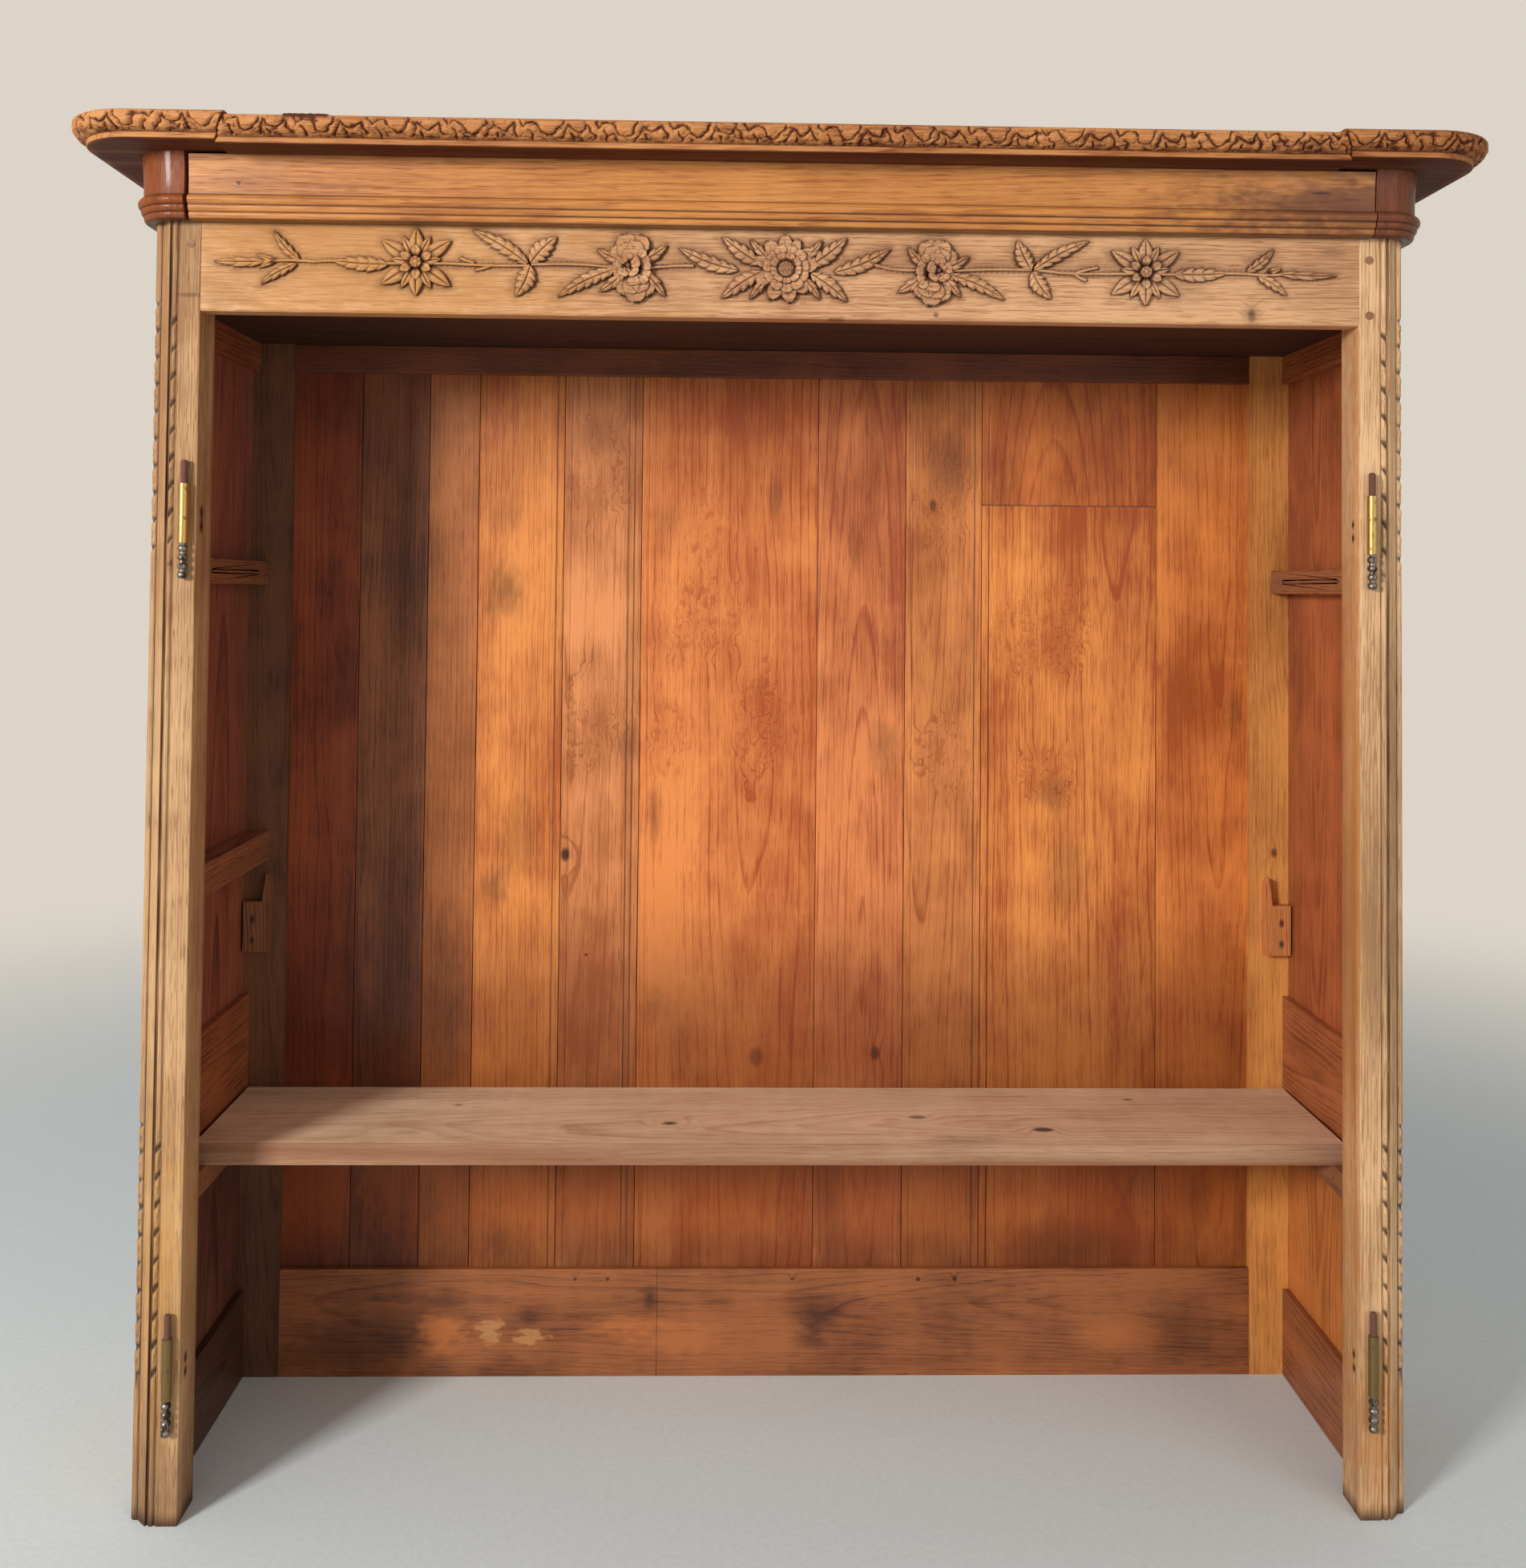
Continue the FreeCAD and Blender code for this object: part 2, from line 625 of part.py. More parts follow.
def back_post(hand, side):
    """A back post with its mortises, grooves and nail holes."""
    name = f"back_post_{side}"
    blank = box(
        f"{name}_blank", sided(hand, post_inner, rail_outer), (post_front, back_y), (as_dim(0), carcass_top))
    cutters = side_mortises(
        name, hand,
        (post_front, post_front + post_tenon_length + joint_gap),
        (post_front, post_front + groove_depth))
    cutters.append(box(
        f"{name}_board_groove",
        sided(hand, post_inner, post_inner + groove_depth),
        board_groove_y,
        widened(panel_height(back_bottom_top, back_top_under), joint_gap)))
    for label, low, high in (("bottom", as_dim(0), back_bottom_top), ("top", back_top_under, carcass_top)):
        cutters.append(box(
            f"{name}_{label}_mortise",
            sided(hand, post_inner, post_inner + tenon_length + joint_gap),
            widened(back_tenon_y, joint_gap),
            widened(tenon_height(low, high), joint_gap)))
    cutters += block_nails(f"{name}_hole", hand, side, fastener_gap)
    keep(name, cut(name, blank, cutters))


def side_rail(label, hand, side, low, high):
    """A rail of one side, with its tenons and the grooves that its edges and face need."""
    name = f"{label}_{side}"
    y = (stile_back, post_front)
    blank = fused(f"{name}_blank", [
        box(f"{name}_plank", sided(hand, rail_inner, rail_outer), y, (low, high)),
        box(f"{name}_tenons",
            sided(hand, tenon_x, tenon_x + tenon_thickness),
            (stile_back - tenon_length, post_front + post_tenon_length),
            tenon_height(low, high)),
    ])
    cutters = []
    for panel, panel_low, panel_high in SIDE_PANELS:
        if panel_low.value == high.value:
            edge = (high - groove_depth, high)
        elif panel_high.value == low.value:
            edge = (low, low + groove_depth)
        else:
            continue
        cutters.append(box(f"{name}_{panel}_groove", sided(hand, *panel_groove_x), y, edge))
    if high.value > ceiling_under.value:
        cutters.append(box(
            f"{name}_ceiling_groove", sided(hand, rail_inner, rail_inner + groove_depth), y, ceiling_groove))
    keep(name, cut(name, blank, cutters))


def side_panel(label, hand, side, low, high):
    """A raised panel of one side; the field stands outwards."""
    name = f"{label}_{side}"
    z = panel_height(low, high)
    y = (stile_back - tongue_length, post_front + tongue_length)
    slab = box(f"{name}_slab", sided(hand, panel_inner, panel_outer), y, z)
    field = doc.addObject("Part::Wedge", f"{name}_field")
    width, height = y[1] - y[0], z[1] - z[0]
    for prop, size in (
            ("Xmin", 0), ("Xmax", width), ("X2min", panel_bevel), ("X2max", width - panel_bevel),
            ("Zmin", 0), ("Zmax", height), ("Z2min", panel_bevel), ("Z2max", height - panel_bevel),
            ("Ymin", 0), ("Ymax", panel_field)):
        bind(field, prop, size)
    field.Placement = FreeCAD.Placement(
        FreeCAD.Vector(), FreeCAD.Rotation(FreeCAD.Vector(0, 0, 1), -hand * CORNER_TURN))
    for axis, place in zip("xyz", (hand * panel_outer, y[1] if hand > 0 else y[0], z[0])):
        bind(field, f"Placement.Base.{axis}", place)
    blank = fused(f"{name}_blank", [slab, field])
    holes = [
        hole for cleat in CLEATS
        if cleat.hand == hand and low.value < cleat.low.value < high.value
        for hole in cleat_nails(f"{name}_hole", cleat, fastener_gap)
    ]
    keep(name, cut(name, blank, holes))


def ceiling_boards():
    """Two boards over the opening, let into grooves all round."""
    middle = (stile_back + post_front) / 2
    wide = rail_inner + tongue_length
    front_reach = half_opening - joint_gap
    back_reach = post_inner - joint_gap
    shoulder = stile_back + joint_gap
    keep("ceiling_board_front", fused("ceiling_board_front", [
        box("ceiling_front_plank", (-wide, wide), (shoulder, middle - joint_gap), ceiling_span),
        box("ceiling_front_tongue", (-front_reach, front_reach),
            (face_y + frieze_thickness - tongue_length, shoulder), ceiling_span),
    ]))
    keep("ceiling_board_back", fused("ceiling_board_back", [
        box("ceiling_back_plank", (-wide, wide), (middle, post_front - joint_gap), ceiling_span),
        box("ceiling_back_tongue", (-back_reach, back_reach),
            (post_front - joint_gap, post_front + tongue_length), ceiling_span),
    ]))


# Back boards

def board_outline(number, left, right):
    """Section of a back board: a groove on its left edge, a tongue on its right edge."""
    first, last = number == 1, number == len(BOARD_WIDTHS)
    start = left - tongue_length if first else left + board_gap / 2
    end = right + tongue_length if last else right - board_gap / 2
    tongue = ((board_thickness - board_tongue) / 2, (board_thickness + board_tongue) / 2)
    groove = widened(tongue, joint_gap)
    outline = [corner(start, 0)]
    if number in BEADED_BOARDS:
        line = start + bead_inset
        outline += [
            corner(line - bead_groove, 0), corner(line, bead_groove), corner(line + bead_groove, 0)]
    outline.append(corner(end, 0))
    if not last:
        outline += [
            corner(end, tongue[0]), corner(end + board_tongue, tongue[0]),
            corner(end + board_tongue, tongue[1]), corner(end, tongue[1])]
    outline += [corner(end, board_thickness), corner(start, board_thickness)]
    if not first:
        bottom = start + board_tongue + joint_gap
        outline += [
            corner(start, groove[1]), corner(bottom, groove[1]),
            corner(bottom, groove[0]), corner(start, groove[0])]
    return outline


def back_boards():
    """The upright boards of the back, from left to right; one has a spliced top."""
    low, high = panel_height(back_bottom_top, back_top_under)
    left = -post_inner
    for number, width in enumerate(board_widths, start=1):
        right = left + width
        spans = [("", low, high)]
        if number == SPLICED_BOARD:
            spans = [("", low, board_splice - board_gap / 2), ("_upper", board_splice + board_gap / 2, high)]
        for suffix, bottom, top in spans:
            name = f"back_board_{number:02d}{suffix}"
            outline = board_outline(number, left, right)
            keep(name, prism(name, "XY_Plane", outline, top - bottom, (0, board_front, bottom)))
        left = right


# Cleats, blocks and the loose shelf

def cleats():
    """The bearers between stile and back post; the right middle one is missing."""
    for cleat in CLEATS:
        outer = panel_inner - cleat_back_gap
        blank = box(
            f"{cleat.label}_blank",
            sided(cleat.hand, outer - cleat.width, outer),
            (stile_back + joint_gap, post_front - joint_gap),
            (cleat.low, cleat.high))
        holes = cleat_nails(f"{cleat.label}_hole", cleat, fastener_gap)
        keep(cleat.label, cut(cleat.label, blank, holes))


def shelf_block(hand, side):
    """A block on a back post, notched for the end of a bearer, with a pointed prong."""
    name = f"shelf_block_{side}"
    inner, outer = block_reach, block_reach + block_width
    notch = block_height
    tip = notch + prong_rise
    outline = [
        corner(inner, 0), corner(outer, 0), corner(outer, notch), corner(inner + prong_width, notch),
        corner(inner + prong_width / 2, tip), corner(inner, tip - prong_drop)]
    if hand < 0:
        outline = mirrored(outline)
    place = (0, post_front, block_under)
    blank = prism(f"{name}_blank", "XZ_Plane", outline, block_thickness, place)
    keep(name, cut(name, blank, block_nails(f"{name}_hole", hand, side, fastener_gap)))


def shelf():
    """The loose plank on the lower cleats."""
    keep("shelf", box(
        "shelf", (-shelf_width / 2, shelf_width / 2),
        (shelf_front, shelf_front + shelf_depth), (shelf_under, shelf_top)))


def fasteners():
    """Pegs and nails, each kind as one group."""
    keep("draw_pegs", group("draw_pegs", [
        peg(f"draw_peg_{label}", hand, height, 0) for label, hand, height in PEGS]))
    nails = [nail for cleat in CLEATS for nail in cleat_nails("nail", cleat, 0)]
    nails += [nail for hand, side in LEFT_AND_RIGHT for nail in block_nails("nail", hand, side, 0)]
    keep("case_nails", group("case_nails", nails))
    keep("hinge_nails", group("hinge_nails", [
        leaf_nail(f"hinge_nail_{label}_{side}", hand, bottom + height, 0)
        for hand, side in LEFT_AND_RIGHT for label, bottom in KNUCKLES for height in LEAF_NAILS]))


# Fixed halves of the lift-off hinges

def hinge_leaf(label, bottom, hand, side):
    """A knuckle and the leaf that stands behind it in the stile."""
    name = f"hinge_leaf_{label}_{side}"
    axis = (hand * hinge_x, hinge_y, bottom)
    leaf_start = hinge_y + (core_radius + knuckle_radius) / 2
    blank = fused(f"{name}_blank", [
        rod(f"{name}_knuckle", knuckle_radius, knuckle_length, axis, UPRIGHT),
        box(f"{name}_plate",
            sided(hand, hinge_x - leaf_thickness / 2, hinge_x + leaf_thickness / 2),
            (leaf_start, face_y + leaf_depth), (bottom, bottom + knuckle_length)),
    ])
    cutters = [rod(f"{name}_bore", core_radius + pin_play, knuckle_length, axis, UPRIGHT)]
    cutters += [leaf_nail(f"{name}_hole", hand, bottom + height, fastener_gap) for height in LEAF_NAILS]
    keep(name, cut(name, blank, cutters))


def pin_outline():
    """Half section of a pin: turned rings, core in the knuckle, thicker free end."""
    ring_round = finial_ring * finial_ring / (finial_bulge * 8) + finial_bulge / 2
    pitch = finial_length / FINIAL_RINGS
    outline = [corner(0, -finial_length)]
    for ring in range(FINIAL_RINGS):
        foot = ring * pitch - finial_length
        outline += [
            corner(core_radius, foot, ring_round, OUTWARD), corner(core_radius, foot + finial_ring)]
    free_end = knuckle_length + pin_length
    return outline + [
        corner(core_radius, knuckle_length),
        corner(pin_radius, knuckle_length),
        corner(pin_radius, free_end),
        corner(pin_radius - pin_tip / 2, free_end + pin_tip),
        corner(0, free_end + pin_tip),
    ]


def hinge_pins():
    """The four pins, each with its finial, as one group."""
    pins = []
    for hand, side in LEFT_AND_RIGHT:
        for label, bottom in KNUCKLES:
            body = new_body(f"hinge_pin_{label}_{side}", hand * hinge_x, hinge_y, bottom)
            revolve(body, new_sketch(body, "XZ_Plane", pin_outline(), f"{body.Name}_half"), FULL_TURN)
            pins.append(body)
    keep("hinge_pins", group("hinge_pins", pins))


# Cornice: the reeded frieze

frieze_centre = block_radius - frieze_waist
frieze_centre_x = side_x - frieze_centre
frieze_centre_y = face_y + frieze_centre


def frieze_outline(gap, top):
    """Section of the cornice frieze; its first measure counts from a corner block's centre."""
    foot = carcass_top - frieze_lip
    low_cusp = foot + low_reed
    high_cusp = low_cusp + middle_reed
    waist = high_cusp + high_reed
    return [
        corner(frieze_centre + gap, foot),
        corner(frieze_centre + reed_foot, foot, reed_radius, OUTWARD),
        corner(frieze_centre + reed_low_cusp, low_cusp, reed_radius, OUTWARD),
        corner(frieze_centre + reed_high_cusp, high_cusp, reed_radius, OUTWARD),
        corner(frieze_centre + frieze_waist, waist, hollow_radius, INWARD),
        corner(frieze_centre + frieze_flare, top),
        corner(frieze_centre - frieze_body, top),
        corner(frieze_centre - frieze_body, carcass_top),
        corner(frieze_centre + gap, carcass_top),
    ]


def moulded_corner(name, hand, outline, seam, centre_x, centre_y):
    """A corner of a moulding: a straight stub from its seam, then a quarter turn to the side."""
    body = new_body(name, hand * centre_x, centre_y)
    flipped = mirrored(outline)
    pad(body, new_sketch(body, "YZ_Plane", flipped, f"{name}_stub"), centre_x - seam, reverse=hand > 0)
    revolve(body, new_sketch(body, "YZ_Plane", flipped, f"{name}_round"), CORNER_TURN, reverse=hand < 0)
    keep(name, body)


def moulded_side(name, hand, outline, gap, centre_x, centre_y):
    """A moulding along one side, from the end of its corner to the back."""
    section = outline if hand > 0 else mirrored(outline)
    place = (hand * centre_x, centre_y + gap, 0)
    keep(name, prism(name, "XZ_Plane", section, back_y - centre_y - gap, place, reverse=True))


def frieze():
    """The reeded frieze: front, rounded corner blocks and sides."""
    half_gaps = {-1: frieze_gap_left / 2, 1: frieze_gap_right / 2}
    start = half_gaps[-1] - frieze_seam
    length = frieze_seam - half_gaps[1] - start
    outline = mirrored(frieze_outline(lip_gap, soffit - crown_step))
    place = (start, frieze_centre_y, 0)
    keep("frieze_moulding", prism("frieze_moulding", "YZ_Plane", outline, length, place))
    for hand, side in LEFT_AND_RIGHT:
        moulded_corner(f"frieze_corner_{side}", hand, frieze_outline(corner_lip_gap, soffit),
                       frieze_seam + half_gaps[hand], frieze_centre_x, frieze_centre_y)
        moulded_side(f"frieze_side_{side}", hand, frieze_outline(lip_gap, soffit),
                     joint_gap, frieze_centre_x, frieze_centre_y)


# Cornice: the crown and what closes its top

crown_centre_x = side_x + crown_inside
crown_centre_y = face_y - crown_inside


def crown_outline(step, draw_in):
    """Section of the crown, counted from its inner edge, lowered by a step and drawn in."""
    fillet = crown_fillet - crown_inside - draw_in
    lip = crown_reach - crown_inside - draw_in
    under = soffit - step
    top = under + crown_height
    fillet_top = under + crown_fillet_height
    lip_foot = under + crown_lip_rise
    return [
        corner(0, under),
        corner(fillet, under),
        corner(fillet, fillet_top),
        corner(fillet + crown_quirk, fillet_top, crown_round, OUTWARD),
        corner(lip, lip_foot),
        corner(lip, lip_foot + crown_lip_height),
        corner(lip - crown_edge, top),
        corner(0, top),
    ]


def crown():
    """The crown: front, corner pieces that stand a little prouder and higher, and sides."""
    start = crown_seam - crown_gap / 2
    outline = mirrored(crown_outline(crown_step, crown_draw))
    place = (-start, crown_centre_y, 0)
    keep("crown_front", prism("crown_front", "YZ_Plane", outline, start * 2, place))
    for hand, side in LEFT_AND_RIGHT:
        moulded_corner(f"crown_corner_{side}", hand, crown_outline(0, 0),
                       crown_seam + crown_gap / 2, crown_centre_x, crown_centre_y)
        moulded_side(f"crown_side_{side}", hand, crown_outline(0, 0),
                     crown_gap, crown_centre_x, crown_centre_y)


def cornice_top():
    """The rail that closes the cornice behind, and the dust boards on top."""
    inner = side_x - frieze_body
    z = (soffit, soffit + dust_thickness)
    x = (-crown_centre_x, crown_centre_x)
    middle = (crown_centre_y + back_y) / 2
    keep("cornice_back_rail", box(
        "cornice_back_rail", (-inner, inner), (back_y - cornice_back, back_y), (carcass_top, soffit)))
    keep("dust_board_front", box("dust_board_front", x, (crown_centre_y, middle - joint_gap), z))
    keep("dust_board_back", box("dust_board_back", x, (middle, back_y), z))


def build():
    """Build every sub-part of the upper case."""
    for hand, side in LEFT_AND_RIGHT:
        front_stile(hand, side)
        back_post(hand, side)
        for label, low, high in SIDE_RAILS:
            side_rail(label, hand, side, low, high)
        for label, low, high in SIDE_PANELS:
            side_panel(label, hand, side, low, high)
        shelf_block(hand, side)
        for label, bottom in KNUCKLES:
            hinge_leaf(label, bottom, hand, side)
    frieze_rail()
    back_rail("back_bottom_rail", as_dim(0), back_bottom_top,
              (back_bottom_top - groove_depth, back_bottom_top), with_ceiling=False)
    back_rail("back_top_rail", back_top_under, carcass_top,
              (back_top_under, back_top_under + groove_depth), with_ceiling=True)
    back_boards()
    ceiling_boards()
    cleats()
    shelf()
    hinge_pins()
    fasteners()
    frieze()
    crown()
    cornice_top()
    doc.recompute()


def export():
    """Check every object, then write each sub-part to its own file."""
    for item in doc.Objects:
        if "Invalid" in item.State or "Error" in item.State:
            raise RuntimeError(f"{item.Label} failed: {item.State}")
    for item in sub_parts:
        if item.Shape.isNull() or not item.Shape.isValid():
            raise RuntimeError(f"{item.Label} has no valid shape")
    os.makedirs("parts", exist_ok=True)
    for item in sub_parts:
        item.Shape.exportStep(f"parts/{item.Label}.step")
        print(item.Label, len(item.Shape.Solids), "solid(s)", round(item.Shape.Volume / 1000, 1), "cm3")
    print(len(sub_parts), "sub-parts")


build()
export()
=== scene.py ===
"""Looks for the upper case of an old two-piece buffet.

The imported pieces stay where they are. The carved pieces are modelled again over their plain
solids, every surface gets a procedural finish, and a plain soft studio lights the whole.
"""

import logging
import math
from dataclasses import dataclass, field
from enum import Enum
from typing import Callable, Optional, Union

import bmesh
import bpy
from mathutils import Matrix, Vector, kdtree, noise


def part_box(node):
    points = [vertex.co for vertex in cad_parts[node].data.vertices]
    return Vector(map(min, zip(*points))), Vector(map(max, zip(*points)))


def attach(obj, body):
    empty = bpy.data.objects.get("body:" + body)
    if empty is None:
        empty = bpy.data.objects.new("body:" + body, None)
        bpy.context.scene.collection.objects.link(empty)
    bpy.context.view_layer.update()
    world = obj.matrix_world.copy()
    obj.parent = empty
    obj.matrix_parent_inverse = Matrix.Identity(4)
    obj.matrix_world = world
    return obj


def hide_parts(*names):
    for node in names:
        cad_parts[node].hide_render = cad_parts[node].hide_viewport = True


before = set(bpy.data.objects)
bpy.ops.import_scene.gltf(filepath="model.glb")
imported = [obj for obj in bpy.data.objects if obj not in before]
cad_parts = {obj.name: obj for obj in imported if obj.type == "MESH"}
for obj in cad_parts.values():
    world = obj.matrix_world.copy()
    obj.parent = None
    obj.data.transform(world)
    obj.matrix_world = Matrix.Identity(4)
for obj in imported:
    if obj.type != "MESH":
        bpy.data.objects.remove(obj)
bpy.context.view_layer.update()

MM = 0.001
LOG = logging.getLogger("buffet")
SIDES = (("left", -1), ("right", 1))

Number = Union[float, "Socket"]
Point = tuple[float, float]
Triple = tuple[float, float, float]
Quad = tuple[float, float, float, float]


def tint(code: str) -> Quad:
    """Turns a written colour into the linear one that a shader takes.

    Args:
        code: Six hexadecimal digits, two each for red, green and blue.

    Returns:
        The linear colour with full alpha.
    """
    shares = [int(code[i:i + 2], 16) / 255 for i in (0, 2, 4)]
    linear = [s / 12.92 if s <= 0.04045 else ((s + 0.055) / 1.055) ** 2.4 for s in shares]
    return (linear[0], linear[1], linear[2], 1.0)


def ease(value: float, low: float, high: float) -> float:
    """Goes smoothly from 0 at low to 1 at high."""
    share = min(1.0, max(0.0, (value - low) / (high - low)))
    return share * share * (3 - 2 * share)


def bell(value: float, width: float) -> float:
    """Falls from 1 at no distance to about a third at one width."""
    return math.exp(-(value / width) ** 2)


# Shader values and nodes

def operator(operation: str, turned: bool = False) -> Callable[["Socket", Number], "Socket"]:
    """Makes an operator that adds a Math node.

    Args:
        operation: The node's operation.
        turned: Whether the socket is the second of the two values.

    Returns:
        The operator as a method.
    """

    def method(self: "Socket", other: Number) -> "Socket":
        """Adds the node and gives its output."""
        first, second = (other, self) if turned else (self, other)
        return self.paint.math(operation, first, second)

    return method


class Socket:
    """A shader output that adds Math nodes where it is used in an expression."""

    def __init__(self, paint: "Paint", output: bpy.types.NodeSocket) -> None:
        """Keeps the output and the tree that it belongs to."""
        self.paint = paint
        self.output = output

    def other(self, name: Union[int, str]) -> "Socket":
        """Gives another output of the same node."""
        return Socket(self.paint, self.output.node.outputs[name])

    __add__ = operator("ADD")
    __radd__ = operator("ADD", turned=True)
    __sub__ = operator("SUBTRACT")
    __rsub__ = operator("SUBTRACT", turned=True)
    __mul__ = operator("MULTIPLY")
    __rmul__ = operator("MULTIPLY", turned=True)
    __truediv__ = operator("DIVIDE")
    __rtruediv__ = operator("DIVIDE", turned=True)
    __pow__ = operator("POWER")


@dataclass
class Laid:
    """Where a point lies in a piece of wood, in metres."""

    along: Socket
    across: Socket
    depth: Socket
    axes: tuple[Socket, ...]
    vector: Socket
    seed: float


class Grain(Enum):
    """How a piece is cut: its axes along the grain, across the face and into the depth."""

    UPRIGHT = (2, 0, 1)
    LEVEL = (0, 2, 1)
    FLAT = (0, 1, 2)
    SIDE_UPRIGHT = (2, 1, 0)
    SIDE_LEVEL = (1, 2, 0)


class Waves(Enum):
    """A noise drawn out along the grain: waves per metre across and along it, and finer detail."""

    SWAY = (3.1, 0.9, 1.0)
    WANDER = (19.0, 4.0, 2.0)
    FIBRE = (620.0, 8.0, 2.0)
    BAND = (48.0, 1.3, 2.0)
    MOTTLE = (9.0, 3.2, 2.0)
    PORES = (1100.0, 38.0, 0.0)
    BLOTCH = (21.0, 14.0, 4.0)
    PATCH = (5.2, 4.0, 3.0)
    SPECKLE = (130.0, 60.0, 3.0)
    SWIRL = (46.0, 40.0, 3.0)
    TARNISH = (160.0, 90.0, 3.0)
    SCRATCH = (1500.0, 120.0, 2.0)
    FLECK = (160.0, 160.0, 3.0)


class Paint:
    """The node tree of a material or world, with one method that adds any node."""

    def __init__(self, owner: Union[bpy.types.Material, bpy.types.World]) -> None:
        """Takes over a new material's or world's tree and empties it."""
        self.owner = owner
        owner.use_nodes = True
        self.tree = owner.node_tree
        self.tree.nodes.clear()

    def feed(self, inlet: bpy.types.NodeSocket, value: object) -> None:
        """Links a socket to an inlet, or sets the inlet's own value."""
        if isinstance(value, Socket):
            self.tree.links.new(value.output, inlet)
        else:
            inlet.default_value = value

    def node(self, kind: str, settings: Optional[dict] = None, sockets: Optional[dict] = None,
             out: Union[int, str] = 0) -> Socket:
        """Adds a node.

        Args:
            kind: The node's type.
            settings: Its own settings, set first.
            sockets: Values or links for its inputs, by name or number.
            out: The output to give back, by name or number.

        Returns:
            That output.
        """
        made = self.tree.nodes.new(kind)
        for key, value in (settings or {}).items():
            setattr(made, key, value)
        for key, value in (sockets or {}).items():
            self.feed(made.inputs[key], value)
        return Socket(self, made.outputs[out])

    def math(self, operation: str, first: Number, second: Number = 0.0) -> Socket:
        """Adds a Math node of two values."""
        return self.node("ShaderNodeMath", {"operation": operation}, {0: first, 1: second})

    def step(self, value: Number, low: float, high: float) -> Socket:
        """Goes smoothly from 0 at low to 1 at high, also where low is the larger."""
        return self.node("ShaderNodeMapRange", {"interpolation_type": "SMOOTHSTEP"},
                         {"Value": value, "From Min": low, "From Max": high})

    def mix(self, share: Number, first: object, second: object) -> Socket:
        """Mixes two colours by the share of the second."""
        return self.node("ShaderNodeMix", {"data_type": "RGBA"}, {0: share, 6: first, 7: second}, 2)

    def laid(self, grain: Grain, seed: float) -> Laid:
        """Reads the point on a piece in the directions of its grain.

        Args:
            grain: How the piece is cut.
            seed: A number that sets this piece's pattern apart.

        Returns:
            The point's place along, across and into the wood.
        """
        place = self.node("ShaderNodeTexCoord", out="Object")
        split = self.node("ShaderNodeSeparateXYZ", sockets={0: place})
        axes = tuple(split.other(axis) for axis in range(3))
        along, across, depth = (axes[axis] for axis in grain.value)
        vector = self.node("ShaderNodeCombineXYZ", sockets={0: across, 1: depth, 2: along})
        return Laid(along, across, depth, axes, vector, seed)

    def streaks(self, laid: Laid, waves: Waves) -> Socket:
        """Makes noise drawn out along the grain, spread from 0 to 1.

        Args:
            laid: The point in the wood.
            waves: Which noise.

        Returns:
            The noise.
        """
        across, along, detail = waves.value
        away = (laid.seed * 3.7 + across * 0.013, laid.seed * 1.9, laid.seed * 5.3 + along)
        spread = self.node("ShaderNodeMapping", sockets={
            "Vector": laid.vector, "Location": away, "Scale": (across, across, along)})
        wave = self.node("ShaderNodeTexNoise", sockets={
            "Vector": spread, "Scale": 1.0, "Detail": detail})
        return self.node("ShaderNodeMapRange", sockets={
            "Value": wave, "From Min": 0.3, "From Max": 0.7})

    def surface(self, sockets: dict) -> bpy.types.Material:
        """Ends the tree in a Principled shader.

        Args:
            sockets: Values or links for the shader's inputs.

        Returns:
            The finished material.
        """
        self.end(self.node("ShaderNodeBsdfPrincipled", sockets=sockets), "ShaderNodeOutputMaterial")
        return self.owner

    def end(self, shader: Socket, kind: str) -> None:
        """Sends a shader to an output node of the given type."""
        self.feed(self.tree.nodes.new(kind).inputs["Surface"], shader)


# Wood

KNOT_TONE = "3b1d10"
STAIN_TONE = "35190f"
CHIP_TONE = "c9925a"


class MarkKind(Enum):
    """What a mark in the wood is."""

    KNOT = "knot"
    BURL = "burl"
    STAIN = "stain"
    CHIP = "chip"
    WORN = "worn"


@dataclass(frozen=True)
class Mark:
    """A knot, burl, stain, chip or worn place, in metres along and across the piece."""

    kind: MarkKind
    along: float
    across: float
    size: float
    strength: float = 1.0
    stretch: float = 1.6

    def away(self, laid: Laid, wander: Socket) -> Socket:
        """Measures how far a point is from the mark, in sizes of the mark."""
        along = (laid.along - self.along) / (self.size * self.stretch)
        across = (laid.across - self.across) / self.size
        return (along * along + across * across) ** 0.5 + wander * 0.7


@dataclass(frozen=True)
class Figure:
    """The patterns in a piece of wood, and the distances from its marks."""

    late: Socket
    fibre: Socket
    band: Socket
    mottle: Socket
    pores: Socket
    blotch: Socket
    wander: Socket
    spots: list[tuple[Mark, Socket]]


